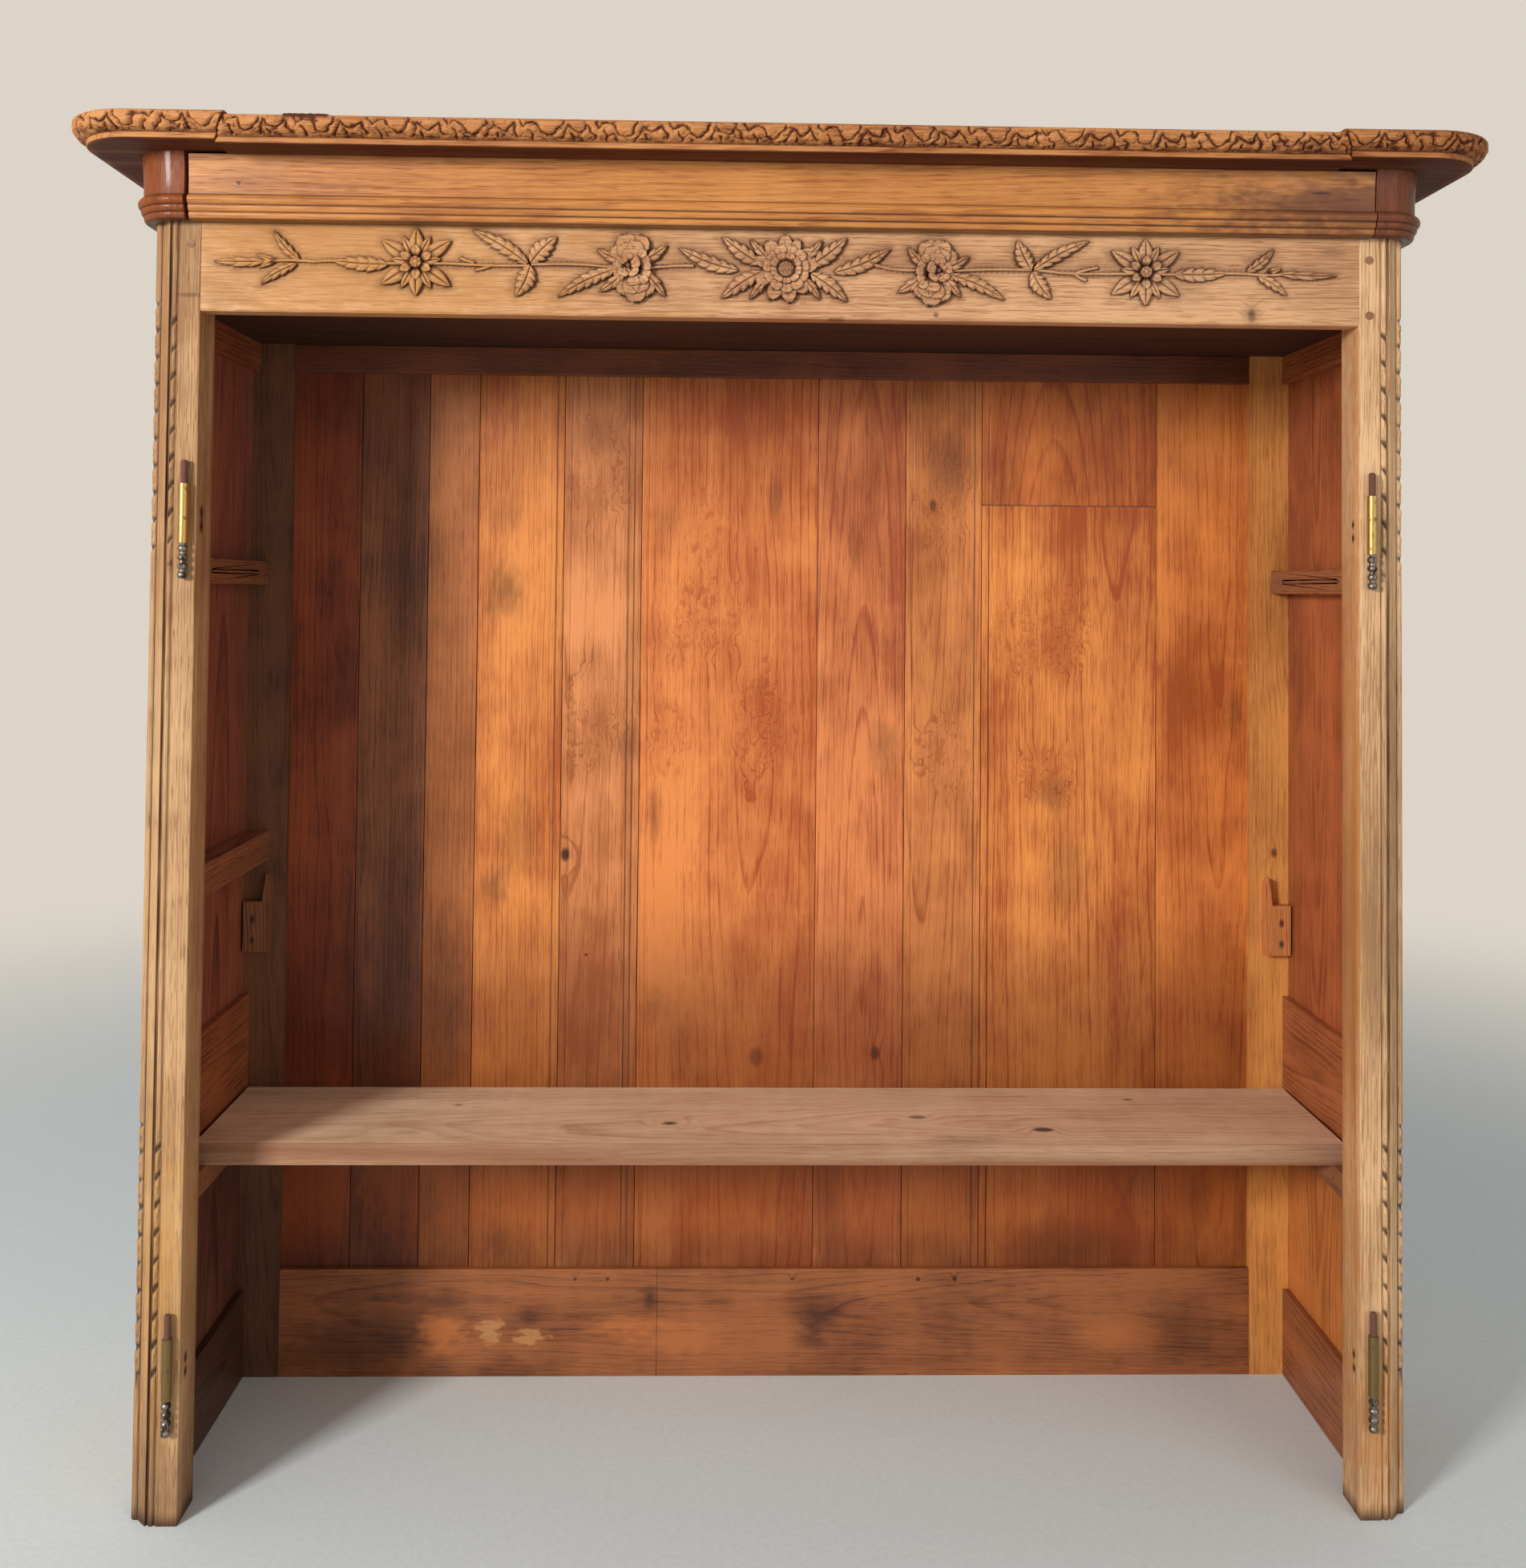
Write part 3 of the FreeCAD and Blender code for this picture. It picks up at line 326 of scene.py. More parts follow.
@dataclass(frozen=True)
class Wood:
    """A wooden finish, with its tones, figure and surface."""

    light: str
    dark: str
    grain: Grain
    seed: float = 0.0
    ring: float = 4.0 * MM
    pith: Point = (0.0, -0.05)
    lean: Point = (0.0, 0.02)
    sway: float = 0.014
    contrast: float = 0.55
    mottle: float = 0.35
    fibre: float = 0.3
    pores: float = 0.35
    roughness: float = 0.45
    shine: float = 0.3
    coat: float = 0.0
    coat_roughness: float = 0.3
    bump: float = 0.35
    bump_depth: float = 0.4 * MM
    dirt_and_shade: float = 0.0
    dirt_and_shade_tone: str = "3a2012"
    raw: Optional[tuple[float, float]] = None
    raw_light: str = "b08d6c"
    raw_dark: str = "6e5038"
    marks: tuple[Mark, ...] = ()
    seams: tuple[tuple[int, float], ...] = ()
    seam_width: float = 1.5 * MM
    thin: float = 0.25
    patch: float = 0.0
    depth: float = 0.26
    # Bands of painted shade: heights where the wood darkens, and the dark tone it goes to
    painted_shade_bands: tuple[Triple, ...] = ()
    painted_shade_tone: str = "481b08"
    stain: float = 1.0
    worn_tone: str = "c8743a"
    nails: tuple[Triple, ...] = ()

    def material(self, name: str) -> bpy.types.Material:
        """Builds the finish as a material.

        Args:
            name: The material's name.

        Returns:
            The material.
        """
        paint = Paint(bpy.data.materials.new(name))
        laid = paint.laid(self.grain, self.seed)
        figure = self.figure(paint, laid)
        shade = self.shade(paint, laid, figure)
        colour = paint.mix(shade, tint(self.light), tint(self.dark))
        # Painted shade: darkens the wood towards a dark tone between two heights
        for start, end, share in self.painted_shade_bands:
            painted_shade_share = paint.step(laid.axes[2] + (figure.band - 0.5) * 0.02, start, end) * share
            colour = paint.mix(painted_shade_share, colour, tint(self.painted_shade_tone))
        colour = self.marked(paint, colour, figure.spots, paint.streaks(laid, Waves.SPECKLE))
        if self.raw:
            bare = paint.mix(shade, tint(self.raw_light), tint(self.raw_dark))
            colour = paint.mix(paint.step(laid.depth, *self.raw), colour, bare)
        rough = (figure.mottle - 0.5) * 0.14 + self.roughness + figure.pores * 0.1
        # The vertex layer darkens hollows, cuts and the carving's edges: dirt and painted shade
        if self.dirt_and_shade:
            soil_and_shade = paint.node("ShaderNodeAttribute", {"attribute_name": "dirt_and_shade"}, out="Fac")
            grime_and_shade = paint.step(soil_and_shade + (figure.band - 0.5) * 0.25, 0.05, 1.0) * self.dirt_and_shade
            colour = paint.mix(grime_and_shade, colour, tint(self.dirt_and_shade_tone))
            rough = rough + grime_and_shade * 0.15
        colour = self.jointed(paint, laid, figure, colour)
        height = figure.fibre * 0.4 - figure.late * 0.5 - figure.pores * 0.9
        bump = paint.node("ShaderNodeBump", sockets={
            "Strength": self.bump, "Distance": self.bump_depth, "Height": height})
        return paint.surface({"Base Color": colour, "Roughness": rough, "Normal": bump,
                              "Specular IOR Level": self.shine, "Coat Weight": self.coat,
                              "Coat Roughness": self.coat_roughness})

    def figure(self, paint: Paint, laid: Laid) -> Figure:
        """Makes the growth rings, fibres, pores and blotches of this piece.

        Args:
            paint: The material's tree.
            laid: The point in the wood.

        Returns:
            The patterns.
        """
        sway = paint.streaks(laid, Waves.SWAY) - 0.5
        wander = paint.streaks(laid, Waves.WANDER) - 0.5
        spots = [(mark, mark.away(laid, wander)) for mark in self.marks]
        rings = self.ring_radius(paint, laid, sway, wander, spots) / self.ring
        ring = paint.math("FRACT", rings)
        vigour = paint.node("ShaderNodeTexWhiteNoise", {"noise_dimensions": "1D"},
                            {"W": paint.math("FLOOR", rings)})
        late = paint.step(ring, self.thin, 0.92) * paint.step(ring, 1.0, 0.93) * (vigour * 0.7 + 0.3)
        blotch = paint.streaks(laid, Waves.BLOTCH)
        return Figure(late=late * (blotch * 0.9 + 0.5), fibre=paint.streaks(laid, Waves.FIBRE),
                      band=paint.streaks(laid, Waves.BAND), mottle=paint.streaks(laid, Waves.MOTTLE),
                      pores=paint.step(paint.streaks(laid, Waves.PORES), 0.72, 0.95),
                      blotch=blotch, wander=wander, spots=spots)

    def shade(self, paint: Paint, laid: Laid, figure: Figure) -> Socket:
        """Adds the patterns up.

        Args:
            paint: The material's tree.
            laid: The point in the wood.
            figure: The patterns.

        Returns:
            The share of the dark tone.
        """
        shade = (figure.late * self.contrast + (figure.band - 0.5) * 0.34
                 + (figure.mottle - 0.5) * self.mottle + (figure.fibre - 0.5) * self.fibre
                 + figure.pores * self.pores + self.depth)
        if self.patch:
            uneven = paint.streaks(laid, Waves.PATCH) + figure.blotch * 0.8 - 0.9
            shade = shade + uneven * self.patch
        return shade

    def jointed(self, paint: Paint, laid: Laid, figure: Figure, colour: Socket) -> Socket:
        """Darkens seams, darkens quirks with dust and painted shade, and stains the wood round nails.

        Args:
            paint: The material's tree.
            laid: The point in the wood.
            figure: The patterns.
            colour: The colour so far.

        Returns:
            The colour with the seams and nails.
        """
        for axis, seam in self.seams:
            gap = paint.math("ABSOLUTE", laid.axes[axis] - seam)
            line = paint.step(gap, self.seam_width, 0.0) * (figure.band * 0.35 + 0.6)
            colour = paint.mix(line, colour, tint(self.dirt_and_shade_tone))
        for nail in self.nails:
            x, y, z = (axis - place for axis, place in zip(laid.axes, nail))
            away = (x * x + y * y + z * z * 0.4) ** 0.5
            rust = paint.step(away + figure.wander * (3 * MM), 5.5 * MM, 2 * MM) * 0.85
            colour = paint.mix(rust, colour, tint(STAIN_TONE))
        return colour

    def ring_radius(self, paint: Paint, laid: Laid, sway: Socket, wander: Socket,
                    spots: list[tuple[Mark, Socket]]) -> Socket:
        """Measures a point's distance from the pith, bent round knots and curled in burls."""
        across = laid.across - laid.along * self.lean[0] + sway * self.sway - self.pith[0]
        depth = laid.depth - laid.along * self.lean[1] + wander * (4 * MM) - self.pith[1]
        radius = (across * across + depth * depth) ** 0.5 + wander * (3 * MM) + sway * self.sway
        curl = None
        for mark, away in spots:
            if mark.kind is MarkKind.KNOT:
                radius = radius + paint.step(away, 2.4, 0.0) * (mark.size * mark.strength)
            if mark.kind is MarkKind.BURL:
                near = paint.step(away, 1.0, 0.2) * mark.strength
                curl = near if curl is None else curl + near
        if curl is None:
            return radius
        swirl = paint.streaks(laid, Waves.SWIRL) - 0.5
        return radius + curl * swirl * (34 * MM)

    def marked(self, paint: Paint, colour: Socket, spots: list[tuple[Mark, Socket]],
               mottle: Socket) -> Socket:
        """Darkens knots and stains, bares chips and brightens worn places.

        Args:
            paint: The material's tree.
            colour: The colour of the sound wood.
            spots: The marks, each with its distance.
            mottle: Noise that breaks the edges of chips.

        Returns:
            The colour with the marks on it.
        """
        for mark, away in spots:
            if mark.kind is MarkKind.KNOT:
                colour = paint.mix(paint.step(away, 0.8, 0.25) * mark.strength, colour, tint(KNOT_TONE))
            if mark.kind is MarkKind.STAIN:
                wet = paint.step(away + (mottle - 0.5) * 0.35, 1.1, 0.0) * (mark.strength * self.stain)
                colour = paint.mix(wet, colour, tint(STAIN_TONE))
            if mark.kind is MarkKind.BURL:
                fleck = (paint.step(mottle, 0.55, 0.9) * 0.5 + 0.12) * mark.strength
                colour = paint.mix(paint.step(away, 1.0, 0.2) * fleck, colour, tint(self.dark))
            if mark.kind is MarkKind.CHIP:
                torn = paint.step(away + (mottle - 0.5) * 1.1, 0.85, 0.4) * mark.strength
                colour = paint.mix(torn, colour, tint(CHIP_TONE))
            if mark.kind is MarkKind.WORN:
                rubbed = paint.step(away + (mottle - 0.5) * 0.6, 1.1, 0.1) * mark.strength
                colour = paint.mix(rubbed, colour, tint(self.worn_tone))
        return colour


@dataclass(frozen=True)
class Metal:
    """A metal finish with tarnish in patches, brown with rust between some heights."""

    bright: str
    tarnish: str
    share: float
    roughness: float
    rust: tuple[Point, ...] = ()
    rust_tone: str = "6b4636"

    def material(self, name: str) -> bpy.types.Material:
        """Builds the finish as a material.

        Args:
            name: The material's name.

        Returns:
            The material.
        """
        paint = Paint(bpy.data.materials.new(name))
        laid = paint.laid(Grain.UPRIGHT, 1.0)
        patch = paint.streaks(laid, Waves.TARNISH)
        scratch = paint.streaks(laid, Waves.SCRATCH)
        dull = paint.step(patch + scratch * 0.3, 1.2 - self.share, 1.5 - self.share)
        colour = paint.mix(dull, tint(self.bright), tint(self.tarnish))
        for low, high in self.rust:
            brown = paint.step(laid.along, low, low + 1 * MM) * paint.step(laid.along, high, high - 1 * MM)
            colour = paint.mix(brown, colour, tint(self.rust_tone))
            dull = paint.math("MAXIMUM", dull, brown * 2.0)
        bump = paint.node("ShaderNodeBump", sockets={
            "Strength": 0.25, "Distance": 0.15 * MM, "Height": scratch + patch})
        return paint.surface({"Base Color": colour, "Metallic": 1.0 - dull * 0.45,
                              "Roughness": dull * 0.3 + self.roughness, "Normal": bump})


# Meshes

Shape = Callable[[float, float], Quad]


def make_piece(name: str, mesh: bmesh.types.BMesh, finish: bpy.types.Material, body: str,
               stands_for: tuple[str, ...], crease: float) -> None:
    """Turns a finished bmesh into a piece that rides on a body.

    Args:
        name: The piece's name.
        mesh: Its shape, in the part's frame.
        finish: Its material.
        body: The body that carries it.
        stands_for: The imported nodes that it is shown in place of.
        crease: The angle in degrees past which an edge stays sharp.
    """
    bmesh.ops.recalc_face_normals(mesh, faces=mesh.faces[:])
    data = bpy.data.meshes.new(name)
    mesh.to_mesh(data)
    mesh.free()
    data.shade_smooth()
    data.set_sharp_from_angle(angle=math.radians(crease))
    data.materials.append(finish)
    piece = bpy.data.objects.new(name, data)
    bpy.context.scene.collection.objects.link(piece)
    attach(piece, body)
    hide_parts(*stands_for)
    LOG.info("%s: %d faces", name, len(data.polygons))


def wall_in(mesh: bmesh.types.BMesh, edges: list[bmesh.types.BMEdge], depth: float,
            soil_and_shade: float) -> list[Vector]:
    """Draws a sheet's open edges back to one depth and closes the sheet there.

    Args:
        mesh: The mesh with the sheet.
        edges: The sheet's open edges.
        depth: Where the walls end.
        soil_and_shade: The dirt and painted shade at their feet.

    Returns:
        The walls' feet.
    """
    layer = mesh.verts.layers.float["dirt_and_shade"]
    walls = bmesh.ops.extrude_edge_only(mesh, edges=edges)["geom"]
    feet = [item for item in walls if isinstance(item, bmesh.types.BMVert)]
    for foot in feet:
        foot.co.y = depth
        foot[layer] = soil_and_shade
    rim = [item for item in walls if isinstance(item, bmesh.types.BMEdge) and item.is_boundary]
    bmesh.ops.edgeloop_fill(mesh, edges=rim)
    return [foot.co.copy() for foot in feet]


def arc(first: Vector, last: Vector, radius: float,
        count: int) -> tuple[float, list[tuple[float, Vector, Vector]]]:
    """Lays points on an arc that turns anticlockwise from one point to another.

    Args:
        first: Its start.
        last: Its end.
        radius: Its radius.
        count: How many points it has.

    Returns:
        Its length, and each point's share of it, place and outward direction.
    """
    chord = last - first
    rise = math.sqrt(radius ** 2 - chord.length_squared / 4)
    centre = (first + last) / 2 + Vector((-chord.y, chord.x)).normalized() * rise
    begin, finish = (math.atan2(end.y - centre.y, end.x - centre.x) for end in (first, last))
    points = []
    for number in range(count):
        share = number / (count - 1)
        turn = begin + (finish - begin) * share
        out = Vector((math.cos(turn), math.sin(turn)))
        points.append((share, centre + out * radius, out))
    return (finish - begin) * radius, points


class Bar:
    """A bar whose closed section is carried along a row of stations."""

    def __init__(self) -> None:
        """Starts an empty mesh with a layer for dirt and painted shade."""
        self.mesh = bmesh.new()
        self.dirt_and_shade = self.mesh.verts.layers.float.new("dirt_and_shade")

    def sweep(self, around: int, stations: int,
              place: Callable[[int, int], tuple[Vector, float]]) -> bmesh.types.BMesh:
        """Bends a grid into the bar and closes it.

        Args:
            around: Points in the section.
            stations: Sections along the bar.
            place: Gives the point and its dirt and painted shade for a section point and a station.

        Returns:
            The closed mesh.
        """
        grid = bmesh.ops.create_grid(self.mesh, x_segments=around, y_segments=stations - 1, size=1.0)
        for vert in grid["verts"]:
            turn = round((vert.co.x + 1) / 2 * around) % around
            station = round((vert.co.y + 1) / 2 * (stations - 1))
            vert.co, vert[self.dirt_and_shade] = place(turn, station)
        bmesh.ops.remove_doubles(self.mesh, verts=self.mesh.verts[:], dist=0.01 * MM)
        ends = [edge for edge in self.mesh.edges if edge.is_boundary]
        bmesh.ops.holes_fill(self.mesh, edges=ends, sides=0)
        return self.mesh


@dataclass(frozen=True)
class Leaf:
    """A carved leaf or long petal, in millimetres from the middle of the frieze."""

    base: Point
    tip: Point
    width: float
    bend: float = 0.0
    teeth: int = 5
    rise: float = 5.0


@dataclass(frozen=True)
class Petal:
    """A ring of petals, in millimetres: count, reach, width and height at both ends."""

    count: int
    inner: float
    outer: float
    width: float
    low: float
    high: float
    cup: float = 1.2
    point: float = 2.0
    turn: float = 0.0


class Relief:
    """Carving that stands on an upright ground, as sheets walled down into it."""

    sunk: float = 1.5 * MM
    soil_and_shade: float = 0.16

    def __init__(self, face: float, middle: Point) -> None:
        """Starts an empty relief.

        Args:
            face: The ground's place in depth.
            middle: The middle of the carving, in metres.
        """
        self.mesh = bmesh.new()
        self.dirt_and_shade = self.mesh.verts.layers.float.new("dirt_and_shade")
        self.face = face
        self.middle = middle
        self.feet: list[Vector] = []

    def at(self, x: float, z: float, height: float) -> Vector:
        """Turns millimetres from the middle into a point in the part's frame."""
        return Vector((self.middle[0] + x * MM, self.face - height * MM, self.middle[1] + z * MM))

    def join(self, part: bmesh.types.BMesh) -> None:
        """Adds a finished shape to the whole."""
        data = bpy.data.meshes.new("shape")
        part.to_mesh(data)
        part.free()
        self.mesh.from_mesh(data)
        bpy.data.meshes.remove(data)

    def sheet(self, steps: tuple[int, int], shape: Shape) -> None:
        """Adds one carved sheet with walls down into the ground.

        Args:
            steps: Divisions along and across the sheet.
            shape: Gives x, z, height and dirt with painted shade from a share along (0 to 1) and across (-1
                to 1).
        """
        part = bmesh.new()
        layer = part.verts.layers.float.new("dirt_and_shade")
        bmesh.ops.create_grid(part, x_segments=steps[0], y_segments=steps[1], size=1.0)
        for vert in part.verts:
            x, z, height, dirt_and_shade = shape((vert.co.x + 1) / 2, vert.co.y)
            vert.co = self.at(x, z, height)
            vert[layer] = max(dirt_and_shade, self.soil_and_shade)
        edges = [edge for edge in part.edges if edge.is_boundary]
        # The walls' feet are fully dark: painted shade where the carving meets the ground, with dirt
        self.feet += wall_in(part, edges, self.face + self.sunk, 1.0)
        self.join(part)

    def dome(self, x: float, z: float, radius: float, height: float, rise: float, steps: int,
             soil_and_shade: float = 0.0) -> None:
        """Adds a round button.

        Args:
            x: Its place across, in millimetres.
            z: Its place up.
            radius: Its radius.
            height: How high its middle stands.
            rise: Half its thickness.
            steps: Divisions round it.
            soil_and_shade: The least dirt and painted shade on it.
        """
        part = bmesh.new()
        layer = part.verts.layers.float.new("dirt_and_shade")
        place = Matrix.Translation(self.at(x, z, height))
        squash = Matrix.Diagonal((radius * MM, rise * MM, radius * MM, 1.0))
        bmesh.ops.create_uvsphere(part, u_segments=steps, v_segments=steps // 2 + 1,
                                  radius=1.0, matrix=place @ squash)
        for vert in part.verts:
            down = (vert.co.y - place.translation.y) / (rise * MM)
            # Darker towards the ground: painted shade with dirt
            vert[layer] = max(soil_and_shade, ease(down, -0.7, 0.1))
        self.join(part)

    def leaf(self, leaf: Leaf) -> None:
        """Adds a leaf of two swelling halves, with a sunk midrib, veins and teeth towards the tip."""
        base = Vector(leaf.base)
        run = Vector(leaf.tip) - base
        side = Vector((-run.y, run.x)).normalized()
        ahead = run.normalized()
        toothed = leaf.teeth > 1

        def shape(share: float, spread: float) -> Quad:
            """Places a point of the leaf."""
            across = math.copysign(abs(spread) ** 1.3, spread)
            swell = math.sin(math.pi * (0.04 + 0.955 * share) ** 0.85) ** 0.8
            tooth = (share * leaf.teeth) % 1.0 if toothed else 0.8
            bite = 0.36 if across * leaf.bend <= 0 else 0.22
            half = leaf.width / 2 * swell * (1.04 - bite * (1 - tooth ** 0.7))
            back = abs(across) * leaf.width * 0.06 * math.sin(math.pi * share)
            spot = base + run * share + side * (half * across + leaf.bend * math.sin(math.pi * share))
            spot = spot - ahead * back
            rib = bell(across, 0.09) * (1 - ease(share, 0.85, 1.0))
            phase = leaf.teeth * share + 0.5 * (1 - abs(across))
            vein = bell(phase - round(phase), 0.1) * ease(abs(across), 0.1, 0.4) if toothed else 0.0
            lift = 0.45 + 0.55 * math.sin(math.pi * min(1.0, 0.15 + 0.85 * share)) ** 0.6
            pillow = max(0.0, math.sin(math.pi * (0.16 + 0.84 * abs(across)))) ** 0.7
            height = leaf.rise * lift * (0.62 + 0.38 * pillow) - 1.1 * rib - 1.0 * vein
            # Midrib, veins and edges darkened: painted shade in the hollows, with dirt
            dirt_and_shade = max(0.9 * rib, 0.9 * vein, 0.6 * ease(abs(across), 0.85, 1.0))
            if not toothed:
                dirt_and_shade = max(dirt_and_shade, 0.9 * (1 - ease(share, 0.12, 0.5)))
            return spot.x, spot.y, max(0.8, height), dirt_and_shade

        self.sheet((leaf.teeth * 6 if toothed else 16, 14), shape)

    def petals(self, x: float, z: float, ring: Petal, stretch: Point = (1.0, 1.0)) -> None:
        """Adds a ring of petals round a flower's middle.

        Args:
            x: The flower's place across, in millimetres.
            z: Its place up.
            ring: The petals.
            stretch: How much the ring is drawn out across (below 0 for its mirror) and up.
        """
        for number in range(ring.count):
            angle = 2 * math.pi * (number + ring.turn) / ring.count
            uneven = noise.noise(Vector((x * 0.37, number * 1.7, ring.outer)))
            ahead = Vector((math.cos(angle), math.sin(angle)))
            side = Vector((-ahead.y, ahead.x))

            def shape(share: float, across: float) -> Quad:
                """Places a point of the petal."""
                frill = 1 + 0.1 * uneven + 0.03 * math.cos(2.5 * math.pi * across)
                reach = ring.inner + (ring.outer * frill - ring.inner) * share
                end = max(0.0, (share - 0.5) / 0.5)
                half = ring.width / 2 * (0.55 + 0.45 * min(1.0, share * 2))
                half = half * max(0.04, 1 - end ** ring.point) ** (1 / ring.point)
                spot = ahead * reach + side * (half * across)
                crease = bell(across, 0.16) * ease(share, 0.0, 0.3) * (1 - ease(share, 0.6, 0.9))
                height = ring.low + (ring.high - ring.low) * share ** 0.8
                height = height + ring.cup * across * across * (1 - 0.6 * share) - 0.5 * crease
                height = height - 0.9 * ease(share, 0.75, 1.0) + (0.45 if number % 2 else -0.45)
                rim = max(abs(across) ** 6, ease(share, 0.93, 1.0))
                # Creases, bases and rims darkened: painted shade with dirt
                dirt_and_shade = max(0.4 * crease, 1 - ease(share, 0.05, 0.45), 0.75 * rim)
                return x + stretch[0] * spot.x, z + stretch[1] * spot.y, height, dirt_and_shade

            self.sheet((14, 12), shape)

    def stem(self, start: Point, end: Point, bow: float, width: float = 3.0, rise: float = 2.4) -> None:
        """Adds a half-round stem.

        Args:
            start: Where it starts, in millimetres from the middle.
            end: Where it ends.
            bow: How far its middle bows upwards.
            width: Its width.
            rise: Its height.
        """
        first = Vector(start)
        run = Vector(end) - first
        side = Vector((-run.y, run.x)).normalized()

        def shape(share: float, across: float) -> Quad:
            """Places a point of the stem."""
            waver = noise.noise(Vector((start[0] + share * run.length * 0.09, 0.0, 4.0)))
            thick = width / 2 * (1 + 0.25 * waver)
            spread = thick * across + bow * math.sin(math.pi * share) + waver * 0.5
            spot = first + run * share + side * spread
            height = max(0.5, rise * math.sqrt(max(0.0, 1 - (0.92 * across) ** 2)))
            return spot.x, spot.y, height, 0.6 * abs(across) ** 3

        self.sheet((max(6, int(run.length / 3)), 6), shape)


# Carved frieze of the carcass

